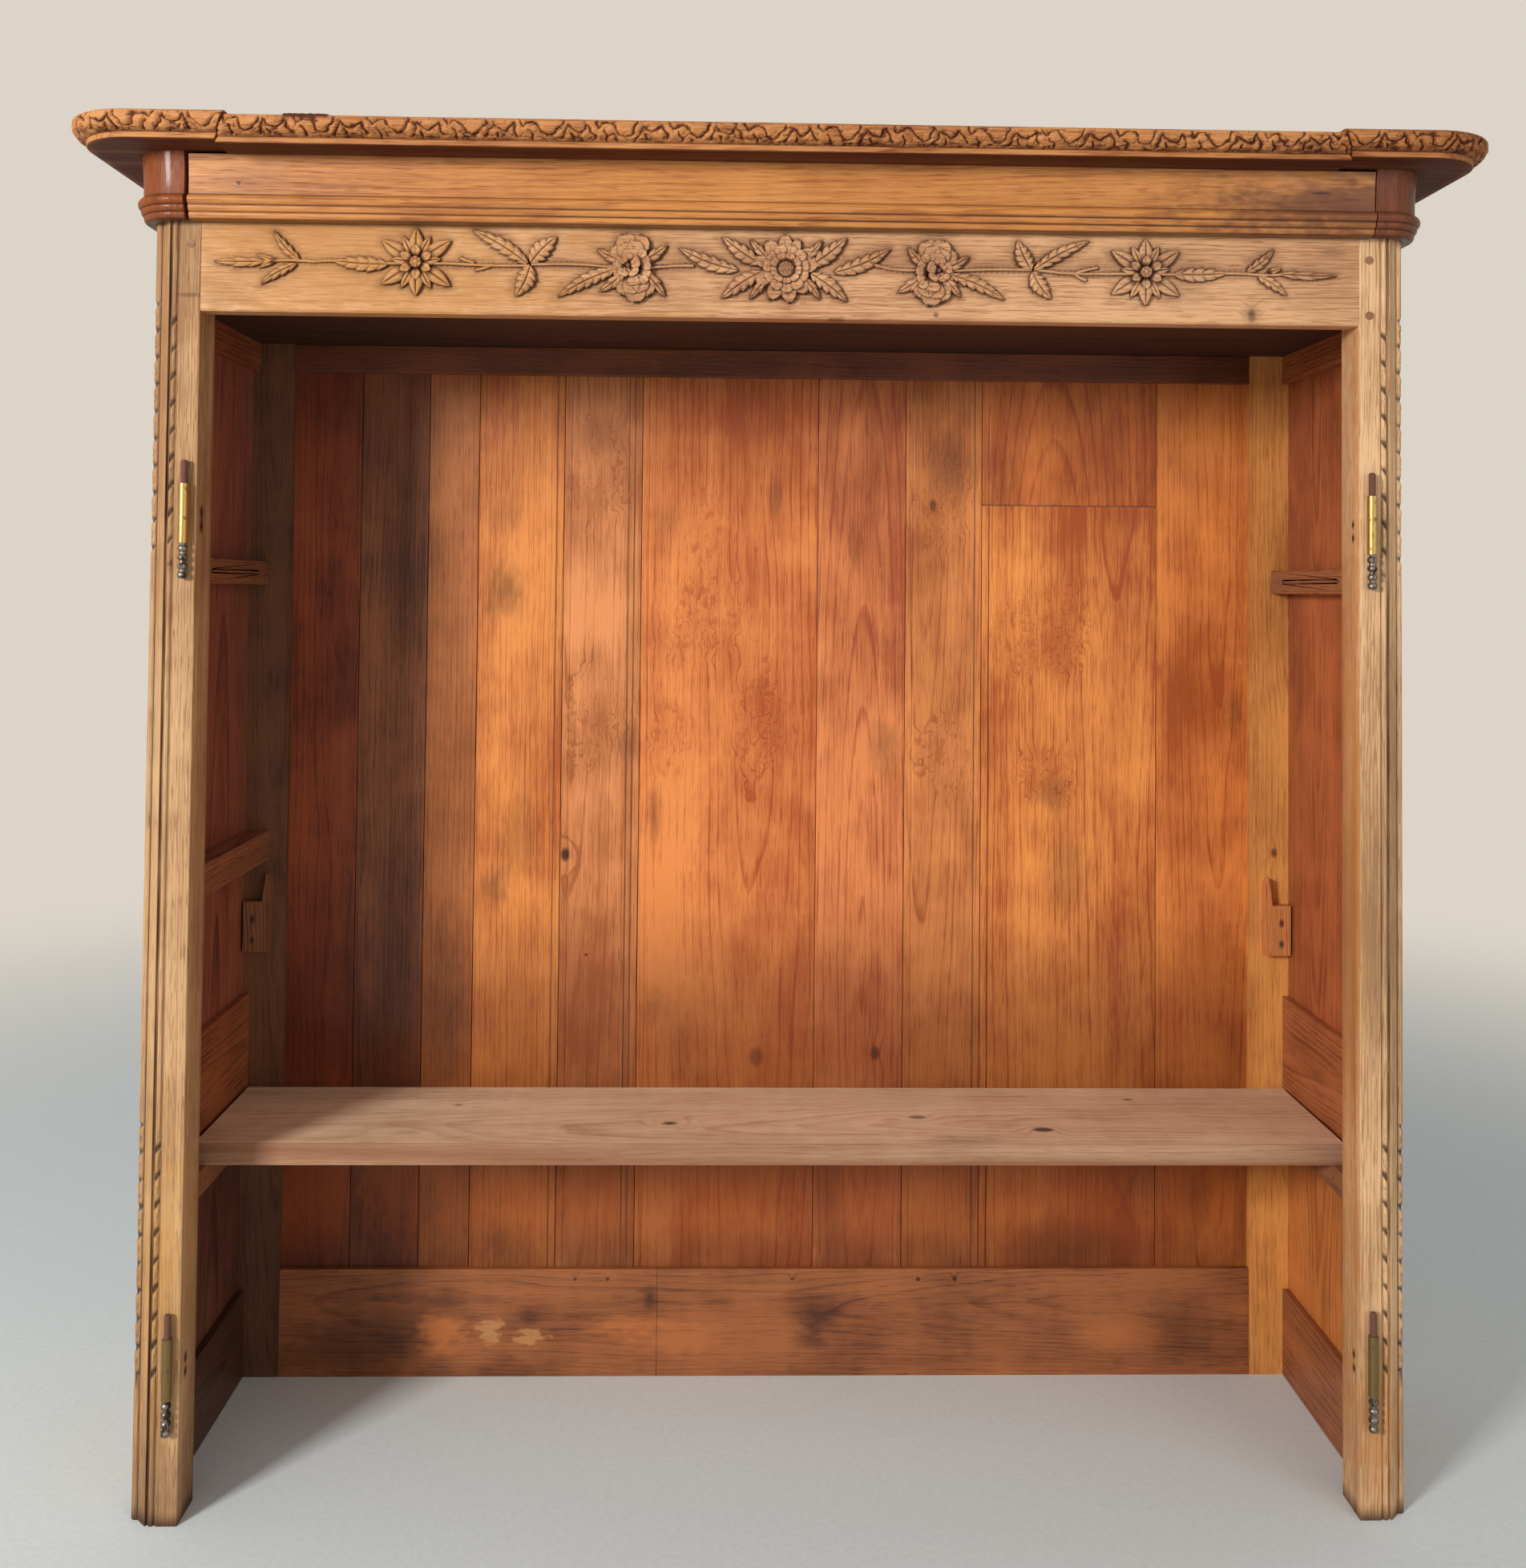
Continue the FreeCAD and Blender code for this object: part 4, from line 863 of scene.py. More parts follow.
@dataclass
class CarvedFrieze:
    """The front rail with its garland of leaves and flowers."""

    cell: float = 2.0 * MM
    edge: float = 1.6 * MM
    stem_height: float = 1.280
    nick: Point = (0.042, 0.066)
    nick_depth: float = 1.6 * MM
    dish: float = 0.9 * MM
    back_soil_and_shade: float = 0.3
    leaves: tuple[Leaf, ...] = (
        # Left sprig and the toothed leaf beside the daisy
        Leaf((-500, 1), (-525.5, 29.5), 10, 2.0, 4, 4.0),
        Leaf((-503, -4), (-538, -24.5), 10, -1.5, 4, 3.8),
        Leaf((-536, -2), (-586, -2), 10.5, 0.5, 3, 4.2),
        Leaf((-522, 0), (-543, 6), 5, 1.0, 1, 3.0),
        Leaf((-525, -2), (-540, -8), 5, -1.0, 1, 3.0),
        Leaf((-410, -3), (-465, 0), 16, 1.0, 5, 4.2),
        # Left trefoil
        Leaf((-266, 0), (-322, 33.5), 15.5, -2.0, 6, 4.8),
        Leaf((-262, 1), (-236.5, 27.5), 20.5, 1.5, 5, 5.2),
        Leaf((-263, -3), (-277.5, -34), 20, 2.0, 5, 5.2),
        # Left rose
        Leaf((-176, -5), (-234, -34), 15, -2.5, 7, 4.6),
        Leaf((-166, 3), (-194, 15.5), 11.5, 1.0, 3, 5.0),
        Leaf((-166, -8), (-191, -28), 12, 1.0, 3, 5.0),
        Leaf((-148, 3), (-122, 21), 12, -1.0, 3, 5.2),
        Leaf((-146, -7), (-124, -32), 12, 1.0, 3, 5.2),
        # Round the dahlia
        Leaf((-50, -4), (-109.5, 18), 16, 3.0, 6, 4.8),
        Leaf((-26, 3), (-65, 30.5), 17, 1.5, 5, 5.2),
        Leaf((-26, -6), (-65, -33), 17, -1.5, 5, 5.2),
        Leaf((-18, 8), (-36, 28), 10, 0.5, 3, 5.2),
        Leaf((-18, -12), (-36, -33.5), 10, -0.5, 3, 5.2),
        Leaf((52, -5), (109, 20.5), 16, -3.0, 6, 4.8),
        Leaf((27, 2), (63.5, 31), 17, -1.5, 5, 5.2),
        Leaf((27, -7), (64, -34.5), 17, 1.5, 5, 5.2),
        Leaf((20, 7), (38, 28), 10, -0.5, 3, 5.2),
        Leaf((20, -12), (36, -32.5), 10, 0.5, 3, 5.2),
        # Right rose
        Leaf((172, -6), (227.5, -30.5), 14.5, 2.5, 6, 4.6),
        Leaf((146, 2), (127.5, 22), 11, 1.0, 3, 5.0),
        Leaf((143, -9), (117, -25), 12, 0.5, 3, 5.0),
        Leaf((163, -1), (191, 13.5), 12, -1.0, 3, 5.2),
        Leaf((163, -9), (181.5, -28.5), 11.5, 1.0, 3, 5.2),
        # Right trefoil
        Leaf((255, 1), (241.5, 31), 18, 1.5, 5, 5.2),
        Leaf((259, 1), (315.5, 31.5), 13.5, 2.0, 6, 4.8),
        Leaf((257, -2), (276, -29), 18, -2.0, 5, 5.2),
        # Right toothed leaf and sprig
        Leaf((406, -2), (461, 0), 15.5, -1.0, 5, 4.2),
        Leaf((482, 2), (509.5, 25.5), 10.5, -2.0, 4, 4.0),
        Leaf((494, -3), (523, -22), 11, 1.5, 4, 3.8),
        Leaf((517, 0), (575.5, -1), 9.5, -1.0, 3, 4.2),
        Leaf((503, 0), (518, 6), 6.5, 0.5, 1, 3.4),
    )
    stems: tuple[tuple[Point, Point, float], ...] = (
        ((-541, -2), (-485, -1), 1.5),
        ((-485, -1), (-459, 0), 0.5),
        ((-417, -2), (-345, -1), 0.0),
        ((-345, -1), (-264, -2), -1.0),
        ((-321, 0), (-335, 5), 0.5),
        ((-302, -2), (-319, -7.5), 0.5),
        ((-262, -1), (-175, -3), 2.0),
        ((-140, -3), (-95, 0), 1.0),
        ((85, 6), (150, 0), -4.0),
        ((165, -2), (256, 1), 1.0),
        ((259, 1), (344, -2), -2.0),
        ((302, -2), (325, 4), 0.5),
        ((300, -2), (313, -9.5), -0.5),
        ((339, -2), (415, -2), 0.0),
        ((455, 0), (494, -1), 0.5),
        ((494, -1), (521, 0), -0.5),
    )
    dahlia: Point = (0.8, -2.0)
    daisies: tuple[Point, ...] = ((-380.0, -0.5), (375.0, -0.5))
    roses: tuple[Point, ...] = ((-158.0, -3.0), (155.0, -4.0))
    dahlia_tips: tuple[Triple, ...] = (
        (-1.3, 33.5, 13), (-19.7, 27.6, 14), (-33.0, 9.5, 11), (-31.6, -13.8, 13), (-15.8, -31.0, 14),
        (4.0, -34.5, 14), (20.5, -24.0, 13), (31.6, 4.6, 13), (26.3, 19.7, 11), (12.5, 29.6, 10),
    )
    bowl: tuple[Petal, ...] = (
        Petal(11, 13.0, 24.5, 13.5, 3.6, 6.8, 0.8, 2.2, 0.3),
        Petal(9, 8.6, 16.5, 10.5, 4.8, 7.8, 0.8, 2.2, 0.8),
    )
    rose_petals: tuple[tuple[float, float, float, float, float, float], ...] = (
        # Angle in degrees, reach at both ends, width, and height at both ends
        (128, 12, 30, 20, 2.0, 5.0), (104, 12, 34, 22, 2.2, 5.4), (74, 12, 33, 22, 2.0, 5.0),
        (-108, 12, 31, 20, 2.0, 4.6), (-82, 12, 34, 22, 2.2, 5.0), (-56, 12, 32, 20, 2.0, 4.6),
        (160, 8, 21, 18, 2.0, 4.6), (200, 8, 21, 18, 2.0, 4.6),
        (112, 10, 26, 18, 3.2, 6.2), (82, 10, 26.5, 18, 3.2, 6.4),
        (-94, 10, 26.5, 18, 3.2, 6.0), (-64, 10, 26.5, 18, 3.2, 6.2),
        (95, 8, 19.5, 19, 4.2, 6.8), (-76, 8, 19.5, 19, 4.2, 6.8),
        (54, 11, 23, 9.5, 4.8, 8.0), (30, 10, 21, 9.5, 4.2, 7.0), (4, 10, 20, 9.5, 4.8, 8.2),
        (-22, 10, 21, 9.5, 4.2, 7.0), (-47, 11, 22.5, 9.5, 4.8, 8.0),
    )
    rose_heart: tuple[Petal, ...] = (
        Petal(5, 4.5, 13.0, 12.5, 3.0, 6.6, 0.8, 2.4, 0.3),
        Petal(3, 2.5, 8.0, 9.0, 3.0, 5.4, 0.8, 2.4, 0.1),
    )
    rose_lean: Point = (-4.5, 2.5)
    seed_radius: float = 8.3
    seeds: int = 24

    def build(self) -> bmesh.types.BMesh:
        """Models the garland and the rail that it is carved from.

        Returns:
            The whole rail as one mesh.
        """
        low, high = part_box("frieze_rail")
        low.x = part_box("front_stile_left")[1].x
        high.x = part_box("front_stile_right")[0].x
        self.low, self.high = low, high
        relief = Relief(low.y, ((low.x + high.x) / 2, self.stem_height))
        for start, end, bow in self.stems:
            relief.stem(start, end, bow)
        for leaf in self.leaves:
            relief.leaf(leaf)
        self.add_dahlia(relief)
        for place in self.daisies:
            self.add_daisy(relief, place)
        for place, hand in zip(self.roses, (1, -1)):
            self.add_rose(relief, place, hand)
        self.add_ground(relief)
        return relief.mesh

    def add_dahlia(self, relief: Relief) -> None:
        """Carves the middle flower: loose petals round a bowl of small ones with a seed head."""
        x, z = self.dahlia
        for across, up, width in self.dahlia_tips:
            reach = math.hypot(across, up)
            turn = math.atan2(up, across) / (2 * math.pi)
            relief.petals(x, z, Petal(1, reach * 0.4, reach, width * 1.15, 2.4, 5.0, 0.8, 1.8, turn))
        for ring in self.bowl:
            relief.petals(x, z, ring)
        relief.dome(x, z, self.seed_radius, 4.0, 2.4, 20, 0.6)
        for number in range(self.seeds):
            reach = self.seed_radius * 0.82 * math.sqrt((number + 0.5) / self.seeds)
            angle = number * math.pi * (3 - math.sqrt(5))
            lift = 6.3 - 1.4 * (reach / self.seed_radius) ** 2
            relief.dome(x + reach * math.cos(angle), z + reach * math.sin(angle), 1.05, lift, 1.1, 8)

    def add_daisy(self, relief: Relief, place: Point) -> None:
        """Carves an open flower of six long petals, six short ones and a button.

        Args:
            relief: The carving.
            place: The flower's middle in millimetres.
        """
        x, z = place
        short = ((25, 4), (-25, 3), (14, 27), (-14, 27), (15, -26), (-15, -26))
        long = ((0, 35), (35, 23), (35, -24), (0, -34), (-35, -23), (-35, 22))
        for tips, width, rise in ((short, 9.5, 3.6), (long, 14.5, 5.0)):
            for across, up in tips:
                start = (x + across * 0.28, z + up * 0.28)
                relief.leaf(Leaf(start, (x + across, z + up), width, 0.0, 1, rise))
        relief.petals(x, z, Petal(6, 6.5, 17.5, 9.5, 3.4, 6.4, 1.0, 1.3, 0.5))
        relief.dome(x, z, 6.0, 4.6, 3.0, 20, 0.5)
        relief.petals(x, z, Petal(12, 2.4, 5.6, 3.2, 6.4, 7.4, 0.2, 2.0))
        relief.dome(x, z, 2.2, 6.9, 1.2, 12)

    def add_rose(self, relief: Relief, place: Point, hand: int) -> None:
        """Carves a rose: a hood, a skirt and a row of small petals round a hollow heart.

        Args:
            relief: The carving.
            place: The flower's middle in millimetres.
            hand: 1 for the left rose, -1 for its mirror.
        """
        x, z = place
        for angle, inner, outer, width, low, high in self.rose_petals:
            petal = Petal(1, inner, outer, width, low, high, 1.2, 2.4, angle / 360)
            relief.petals(x, z, petal, (hand, 1.0))
        x, z = x + hand * self.rose_lean[0], z + self.rose_lean[1]
        for ring in self.rose_heart:
            relief.petals(x, z, ring, (hand, 1.0))
        relief.dome(x, z, 2.2, 4.0, 1.4, 12, 0.7)

    def add_ground(self, relief: Relief) -> None:
        """Lays the rail's front under the carving, tooled and darkened close to it with dirt and painted
        shade, and closes its back.
        """
        low, high = self.low, self.high
        feet = kdtree.KDTree(len(relief.feet))
        for number, foot in enumerate(relief.feet):
            feet.insert((foot.x, 0.0, foot.z), number)
        feet.balance()
        size = high - low
        steps = (round(size.x / self.cell), round(size.z / self.cell))
        grid = bmesh.ops.create_grid(relief.mesh, x_segments=steps[0], y_segments=steps[1], size=1.0)
        verts = grid["verts"]
        for vert in verts:
            x = low.x + size.x * (vert.co.x + 1) / 2
            z = low.z + size.z * (vert.co.y + 1) / 2
            away = feet.find((x, 0.0, z))[2]
            nick = ease(x, self.nick[0], self.nick[0] + 5 * MM) - ease(x, self.nick[1] - 7 * MM, self.nick[1])
            near = max(0.0, self.edge - (z - low.z))
            sunk = self.edge - math.sqrt(max(0.0, self.edge ** 2 - near ** 2))
            sunk = sunk + nick * self.nick_depth * bell(z - low.z, 3 * MM)
            tooled = noise.noise(Vector((x * 90, 0.0, z * 160))) * 0.12 * MM
            sunk = sunk + self.dish * bell(away, 8 * MM) + tooled
            vert.co = (x, low.y + sunk, z)
            chip = 0.6 * nick * bell(z - low.z, 3 * MM)
            # Dark outlines and halos round the carving: painted shade with dirt
            vert[relief.dirt_and_shade] = max(0.95 * bell(away, 1.9 * MM), 0.4 * bell(away, 9 * MM), chip)
        edges = dict.fromkeys(edge for vert in verts for edge in vert.link_edges if edge.is_boundary)
        wall_in(relief.mesh, list(edges), high.y, self.back_soil_and_shade)

    def dress(self, finish: Wood) -> None:
        """Shows the carved rail in place of the plain one."""
        make_piece("carved_frieze", self.build(), finish.material("carved_frieze"), "carcass",
                   ("frieze_rail",), 32.0)


# Front stiles

class StileZone(Enum):
    """A part of a stile's section, with the dirt and painted shade that lie on it: quirks, the back and the
    inner side are darkened as painted shade.
    """

    EDGE = ("edge", 0.0)
    FACE = ("face", 0.0)
    SOFT_QUIRK = ("soft quirk", 0.4)
    QUIRK = ("quirk", 0.95)
    FRONT_REED = ("front reed", 0.1)
    CANT = ("cant", 0.08)
    CORNER_REED = ("corner reed", 0.1)
    SIDE = ("side", 0.05)
    BACK = ("back", 0.4)
    INNER = ("inner side", 0.3)


@dataclass(frozen=True)
class StilePoint:
    """A point of a stile's section: metres from its inner side and behind its face."""

    across: float
    deep: float
    zone: StileZone
    share: float = 0.0
    out: Point = (0.0, -1.0)


@dataclass
class CarvedStile:
    """A front stile with two reeds, which are carved as ropes in two runs."""

    name: str
    hand: int
    plain: float = 22.0 * MM
    quirk: float = 2.2 * MM
    quirk_depth: float = 2.0 * MM
    reed: float = 5.0 * MM
    cant_quirk: float = 2.8 * MM
    cant: float = 11.5 * MM
    corner_round: float = 5.6 * MM
    corner_points: int = 15
    corner_end: float = 21.5 * MM
    side: float = 48.5 * MM
    edge: float = 1.3 * MM
    pitch: float = 28.0 * MM
    cut: float = 1.7 * MM
    runs: tuple[Point, ...] = ((0.140, 0.400), (0.962, 1.240))
    fine: float = 1.6 * MM
    coarse: float = 18.0 * MM

    def section(self) -> list[StilePoint]:
        """Lists the section's points from the inner edge round the front, side and back."""
        edge, deep = self.edge, self.quirk_depth
        points = [StilePoint(edge * (1 - math.cos(a)), edge * (1 - math.sin(a)), StileZone.EDGE)
                  for a in (0.0, math.pi / 6, math.pi / 3, math.pi / 2)]
        flat = self.plain - edge - 0.4 * MM
        points += [StilePoint(edge + flat * k / 6, 0.0, StileZone.FACE) for k in range(1, 7)]
        start = self.plain + self.quirk
        points += [StilePoint(self.plain, 0.5 * MM, StileZone.SOFT_QUIRK),
                   StilePoint(self.plain + 0.4 * MM, deep, StileZone.SOFT_QUIRK),
                   StilePoint(start - 0.3 * MM, deep, StileZone.SOFT_QUIRK)]
        for k in range(1, 14):
            turn = math.pi * k / 14
            across = start + self.reed / 2 * (1 - math.cos(turn))
            points.append(StilePoint(across, deep * (1 - math.sin(turn)), StileZone.FRONT_REED, k / 14))
        reed_end = start + self.reed
        cant_start = reed_end + self.cant_quirk
        points += [StilePoint(reed_end + 0.3 * MM, 1.2 * deep, StileZone.QUIRK),
                   StilePoint(cant_start - 0.5 * MM, 1.3 * deep, StileZone.QUIRK),
                   StilePoint(cant_start - 0.2 * MM, 0.5 * deep, StileZone.QUIRK)]
        points += [StilePoint(cant_start + self.cant * k, self.cant * k, StileZone.CANT)
                   for k in (0.02, 0.1, 0.3, 0.5, 0.7, 0.9, 0.97)]
        first = Vector((cant_start + self.cant, self.cant))
        last = Vector((self.side, self.corner_end))
        for share, spot, out in arc(first, last, self.corner_round, self.corner_points)[1]:
            points.append(StilePoint(spot.x, spot.y, StileZone.CORNER_REED, share, (out.x, out.y)))
        behind = self.depth - self.corner_end
        points += [StilePoint(self.side, self.corner_end + behind * k / 4, StileZone.SIDE)
                   for k in (0.1, 1, 2, 3, 4)]
        points += [StilePoint(self.side * (1 - k / 3), self.depth, StileZone.BACK) for k in (1, 2, 3)]
        points += [StilePoint(0.0, self.depth + (edge - self.depth) * k / 4, StileZone.INNER)
                   for k in (1, 2, 3)]
        return points

    def stations(self, low: float, high: float) -> list[float]:
        """Spaces sections closely where the reeds are carved and widely elsewhere."""
        heights = [low]
        while heights[-1] < high:
            z = heights[-1]
            carved = any(a - 0.01 <= z <= b + 0.005 for a, b in self.runs)
            heights.append(min(high, z + (self.fine if carved else self.coarse)))
        return heights

    def rope(self, z: float, share: float, offset: float) -> tuple[float, float]:
        """Works out how deep the rope carving cuts a reed.

        Args:
            z: Height of the point.
            share: Its place across the reed.
            offset: A shift of the pattern.

        Returns:
            The depth of the cut and the dirt and painted shade in it.
        """
        for start, end in self.runs:
            if start <= z <= end:
                fade = ease(z, start, start + 6 * MM) * (1 - ease(z, end - 6 * MM, end))
                turn = (z + offset) / self.pitch + 0.24 * share
                number = math.floor(turn)
                turn = turn - number - 0.5
                depth = 0.85 + 0.5 * noise.noise(Vector((number * 1.7, offset * 90, self.hand)))
                groove = bell(turn, 0.09) + 0.9 * bell(max(0.0, turn), 0.24) * (turn > 0)
                small = 0.5 * bell(abs(turn) - 0.47 + 0.12 * share, 0.07) * bell(share - 0.35, 0.35)
                comma = groove * (0.35 + 0.65 * bell(share - 0.6, 0.35)) + 0.8 * small
                cut = fade * depth * self.cut * min(1.0, groove + small)
                return cut, fade * min(0.95, 1.3 * depth * comma)
        return 0.0, 0.0

    def build(self) -> bmesh.types.BMesh:
        """Models the stile.

        Returns:
            The closed mesh.
        """
        low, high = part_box(f"front_stile_{self.name}")
        self.depth = high.y - low.y
        inner = low.x if self.hand > 0 else high.x
        points = self.section()
        heights = self.stations(low.z, high.z)
        offsets = {StileZone.FRONT_REED: 0.0, StileZone.CORNER_REED: 9 * MM}

        def place(turn: int, station: int) -> tuple[Vector, float]:
            """Places a section point at a station."""
            point = points[turn]
            z = heights[station]
            across, deep, dirt_and_shade = point.across, point.deep, point.zone.value[1]
            if point.zone in offsets:
                cut, soil_and_shade = self.rope(z, point.share, offsets[point.zone])
                across = across - cut * point.out[0]
                deep = deep - cut * point.out[1]
                rim = 0.85 if point.zone is StileZone.CORNER_REED or point.share > 0.5 else 0.35
                # Rope cuts and the reeds' rims are darkened: painted shade in the grooves, with dirt
                dirt_and_shade = max(dirt_and_shade, soil_and_shade, rim * abs(2 * point.share - 1) ** 5)
            if point.zone in (StileZone.EDGE, StileZone.FACE):
                worn = noise.noise(Vector((self.hand * 3.0, z * 26, across * 60)))
                deep = deep + 0.35 * MM * max(0.0, worn)
            if point.zone is StileZone.QUIRK:
                dirt_and_shade = dirt_and_shade * (0.7 + 0.45 * noise.noise(Vector((across * 300, self.hand, z * 14))))
            dirt_and_shade = max(dirt_and_shade, 0.9 * (1 - ease(z, low.z, low.z + 0.012)))
            return Vector((inner + self.hand * across, low.y + deep, z)), dirt_and_shade

        return Bar().sweep(len(points), len(heights), place)

    def dress(self, finish: Wood) -> None:
        """Shows the carved stile in place of the plain one."""
        name = f"carved_stile_{self.name}"
        make_piece(name, self.build(), finish.material(name), "carcass",
                   (f"front_stile_{self.name}",), 35.0)


# Carved crown of the cornice

class CrownPart(Enum):
    """A length of the crown: node, start in the pattern in millimetres, and lean of both ends."""

    FRONT = ("crown_front", 0.0, (1, -1))
    CORNER_LEFT = ("crown_corner_left", 15.0, (1, 0))
    CORNER_RIGHT = ("crown_corner_right", 15.0, (-1, 0))
    SIDE_LEFT = ("crown_side_left", 6.0, (0, 0))
    SIDE_RIGHT = ("crown_side_right", 6.0, (0, 0))

    def __init__(self, node: str, start: float, leans: tuple[int, int]) -> None:
        """Names the values."""
        self.node = node
        self.start = start
        self.leans = leans


@dataclass(frozen=True)
class Run:
    """The inner edge of a crown length: straight, then round a corner if it has a radius."""

    start: Vector
    ahead: Vector
    out: Vector
    straight: float
    radius: float = 0.0

    @property
    def length(self) -> float:
        """Gives the longest measure, at the lip."""
        return self.straight + self.radius * math.pi / 2

    def at(self, share: float) -> tuple[Vector, Vector]:
        """Gives the inner edge's point and the outward direction at a share of the length."""
        gone = share * self.length
        turn = max(0.0, gone - self.straight) / self.radius if self.radius else 0.0
        along = min(gone, self.straight)
        spot = Vector([place + step * along for place, step in zip(self.start, self.ahead)])
        return spot, self.out * math.cos(turn) + self.ahead * math.sin(turn)


@dataclass
class CarvedCrown:
    """The overhanging crown, whose edge is carved with curled leaves."""

    fillet: float = 60 * MM
    fillet_height: float = 5.5 * MM
    quirk: float = 1.5 * MM
    lip: float = 74 * MM
    lip_rise: float = 18.5 * MM
    lip_height: float = 4 * MM
    edge: float = 2.5 * MM
    round: float = 16 * MM
    draw: float = 2 * MM
    pitch: float = 74.0
    pattern_height: float = 31.0
    cell: float = 0.95 * MM
    around: int = 24
    seam_lean: float = 0.55
    seam_reach: float = 30 * MM
    strokes: tuple[tuple[Point, ...], ...] = (
        ((0.0, 31.0), (0.5, 27.0), (3.1, 20.5)),
        ((5.0, 20.0), (8.0, 25.0), (12.0, 26.5), (16.7, 25.0), (20.4, 19.0), (23.5, 12.0), (28.0, 8.5)),
        ((41.0, 32.0), (41.3, 27.0), (38.5, 21.0), (34.0, 12.0), (28.0, 8.5)),
        ((41.5, 4.0), (44.6, 14.0), (47.7, 23.8)),
        ((58.9, 14.0), (52.5, 18.5), (47.7, 23.8)),
        ((66.9, 24.0), (63.0, 18.5), (58.9, 14.0)),
        ((66.9, 24.0), (70.0, 15.0), (73.0, 7.0)),
        ((50.5, 12.0), (51.5, 6.0)),
        ((9.0, 15.0), (13.0, 8.0), (12.0, 2.0)),
    )
    bosses: tuple[tuple[float, float, float, float, float], ...] = (
        (30.5, 20.5, 9.0, 11.0, 1.7), (12.0, 17.5, 7.0, 8.0, 1.0), (57.5, 25.0, 9.0, 7.0, 1.3),
        (51.0, 11.0, 6.0, 8.0, 0.8), (66.0, 12.0, 5.0, 9.0, 0.8), (2.0, 12.0, 6.0, 9.0, 0.9),
    )
    leaf_middle: float = 57.0
    stroke_depth: float = 2.2
    crease_depth: float = 1.1
    sharp_side: float = 0.8
    soft_side: float = 2.4
    sliver: Point = (-0.496, -0.455)
    sliver_height: float = 2.2 * MM
    known: dict[Point, float] = field(default_factory=dict)

    def section(self, draw: float) -> list[Quad]:
        """Lists the section's points from the inner edge of the soffit round to the top.

        Args:
            draw: How far this length is drawn in.

        Returns:
            Reach from the inner edge, height above the soffit, place up the carved pattern
            (below 0 off it) and dirt with painted shade.
        """
        fillet, lip = self.fillet - draw, self.lip - draw
        start = Vector((fillet + self.quirk, self.fillet_height))
        end = Vector((lip, self.lip_rise))
        length, curve = arc(start, end, self.round, self.around)
        scale = self.pattern_height / (length + self.lip_height + self.edge)
        # The soffit underneath and the quirk at the fillet's foot are darkened as painted shade
        points = [(fillet * k / 6, 0.0, -1.0, 0.85) for k in range(6)]
        points += [(fillet - 0.8 * MM, 0.0, -1.0, 0.7), (fillet, 0.8 * MM, -1.0, 0.0),
                   (fillet, self.fillet_height * 0.5, -1.0, 0.0),
                   (fillet, self.fillet_height - 0.6 * MM, -1.0, 0.05),
                   (fillet + 0.5 * MM, self.fillet_height, -1.0, 0.7)]
        points += [(spot.x, spot.y, length * share * scale, 0.0) for share, spot, _ in curve]
        for k in (1, 2, 3, 4):
            climb = self.lip_height * k / 4
            points.append((lip, self.lip_rise + climb, (length + climb) * scale, 0.0))
        top = self.lip_rise + self.lip_height + self.edge
        points += [(lip - self.edge * 0.4, top - self.edge * 0.3, self.pattern_height - 1.0, 0.0),
                   (lip - self.edge, top, self.pattern_height, 0.0), (lip - 3 * self.edge, top, -1.0, 0.1)]
        points += [(lip * k / 4, top, -1.0, 0.25) for k in (3, 2, 1, 0)]
        return points

    def away(self, along: float, up: float) -> float:
        """Measures how far a point of the pattern is from the nearest cut.

        Args:
            along: Place in the pattern in millimetres.
            up: Place up the carved edge.

        Returns:
            The distance in millimetres, below 0 on the cut's sharp side.
        """
        spot = Vector((along, up))
        nearest = self.pitch
        for shift in (-self.pitch, 0.0, self.pitch):
            for stroke in self.strokes:
                for start, end in zip(stroke, stroke[1:]):
                    first = Vector((start[0] + shift, start[1]))
                    run = Vector((end[0] + shift, end[1])) - first
                    share = min(1.0, max(0.0, (spot - first).dot(run) / run.length_squared))
                    gap = (spot - first - run * share).length
                    if gap < abs(nearest):
                        nearest = math.copysign(gap, run.cross(spot - first))
        return nearest

    def carve(self, along: float, up: float) -> tuple[float, float]:
        """Works out how deep the leaf carving cuts the edge.

        Args:
            along: Place along the edge in millimetres.
            up: Place up the carved edge in millimetres.

        Returns:
            The depth of the cut in metres and the dirt and painted shade in it.
        """
        waver = noise.noise(Vector((along * 0.035, up * 0.03, 2.0)))
        bent = noise.noise(Vector((along * 0.09, up * 0.11, 5.0)))
        lifted = noise.noise(Vector((along * 0.08, up * 0.1, 9.0)))
        lag = round(2 * ((along + 2.5 * waver + 3.2 * bent) % self.pitch)) / 2
        key = (lag, round(2 * (up + 3.0 * lifted)) / 2)
        if key not in self.known:
            self.known[key] = self.away(*key)
        away = self.known[key]
        worn = noise.noise(Vector((along * 0.13, up * 0.15, 7.0)))
        fine = noise.noise(Vector((along * 0.5, up * 0.5, 3.0)))
        curl = noise.noise(Vector((along * 0.12, up * 0.14, 13.0)))
        crease = bell(curl, 0.075) * ease(worn, -0.35, 0.25)
        fall = bell(away, self.soft_side if away > 0 else self.sharp_side)
        edge = ease(up, 0.3, 3.0) * (1 - 0.9 * ease(up, self.pattern_height - 6, self.pattern_height - 1))
        swell = 0.0
        for middle, height, long, tall, rise in self.bosses:
            off = (lag - middle + self.pitch / 2) % self.pitch - self.pitch / 2
            swell = max(swell, rise * (1 - (off / long) ** 2 - ((up - height) / tall) ** 2))
        rough = self.crease_depth * crease + 0.5 * worn + 0.2 * fine
        depth = (self.stroke_depth * fall + (rough - swell) * (1 - fall)) * edge + 0.3
        leafy = bell(lag - self.leaf_middle, 13.0)
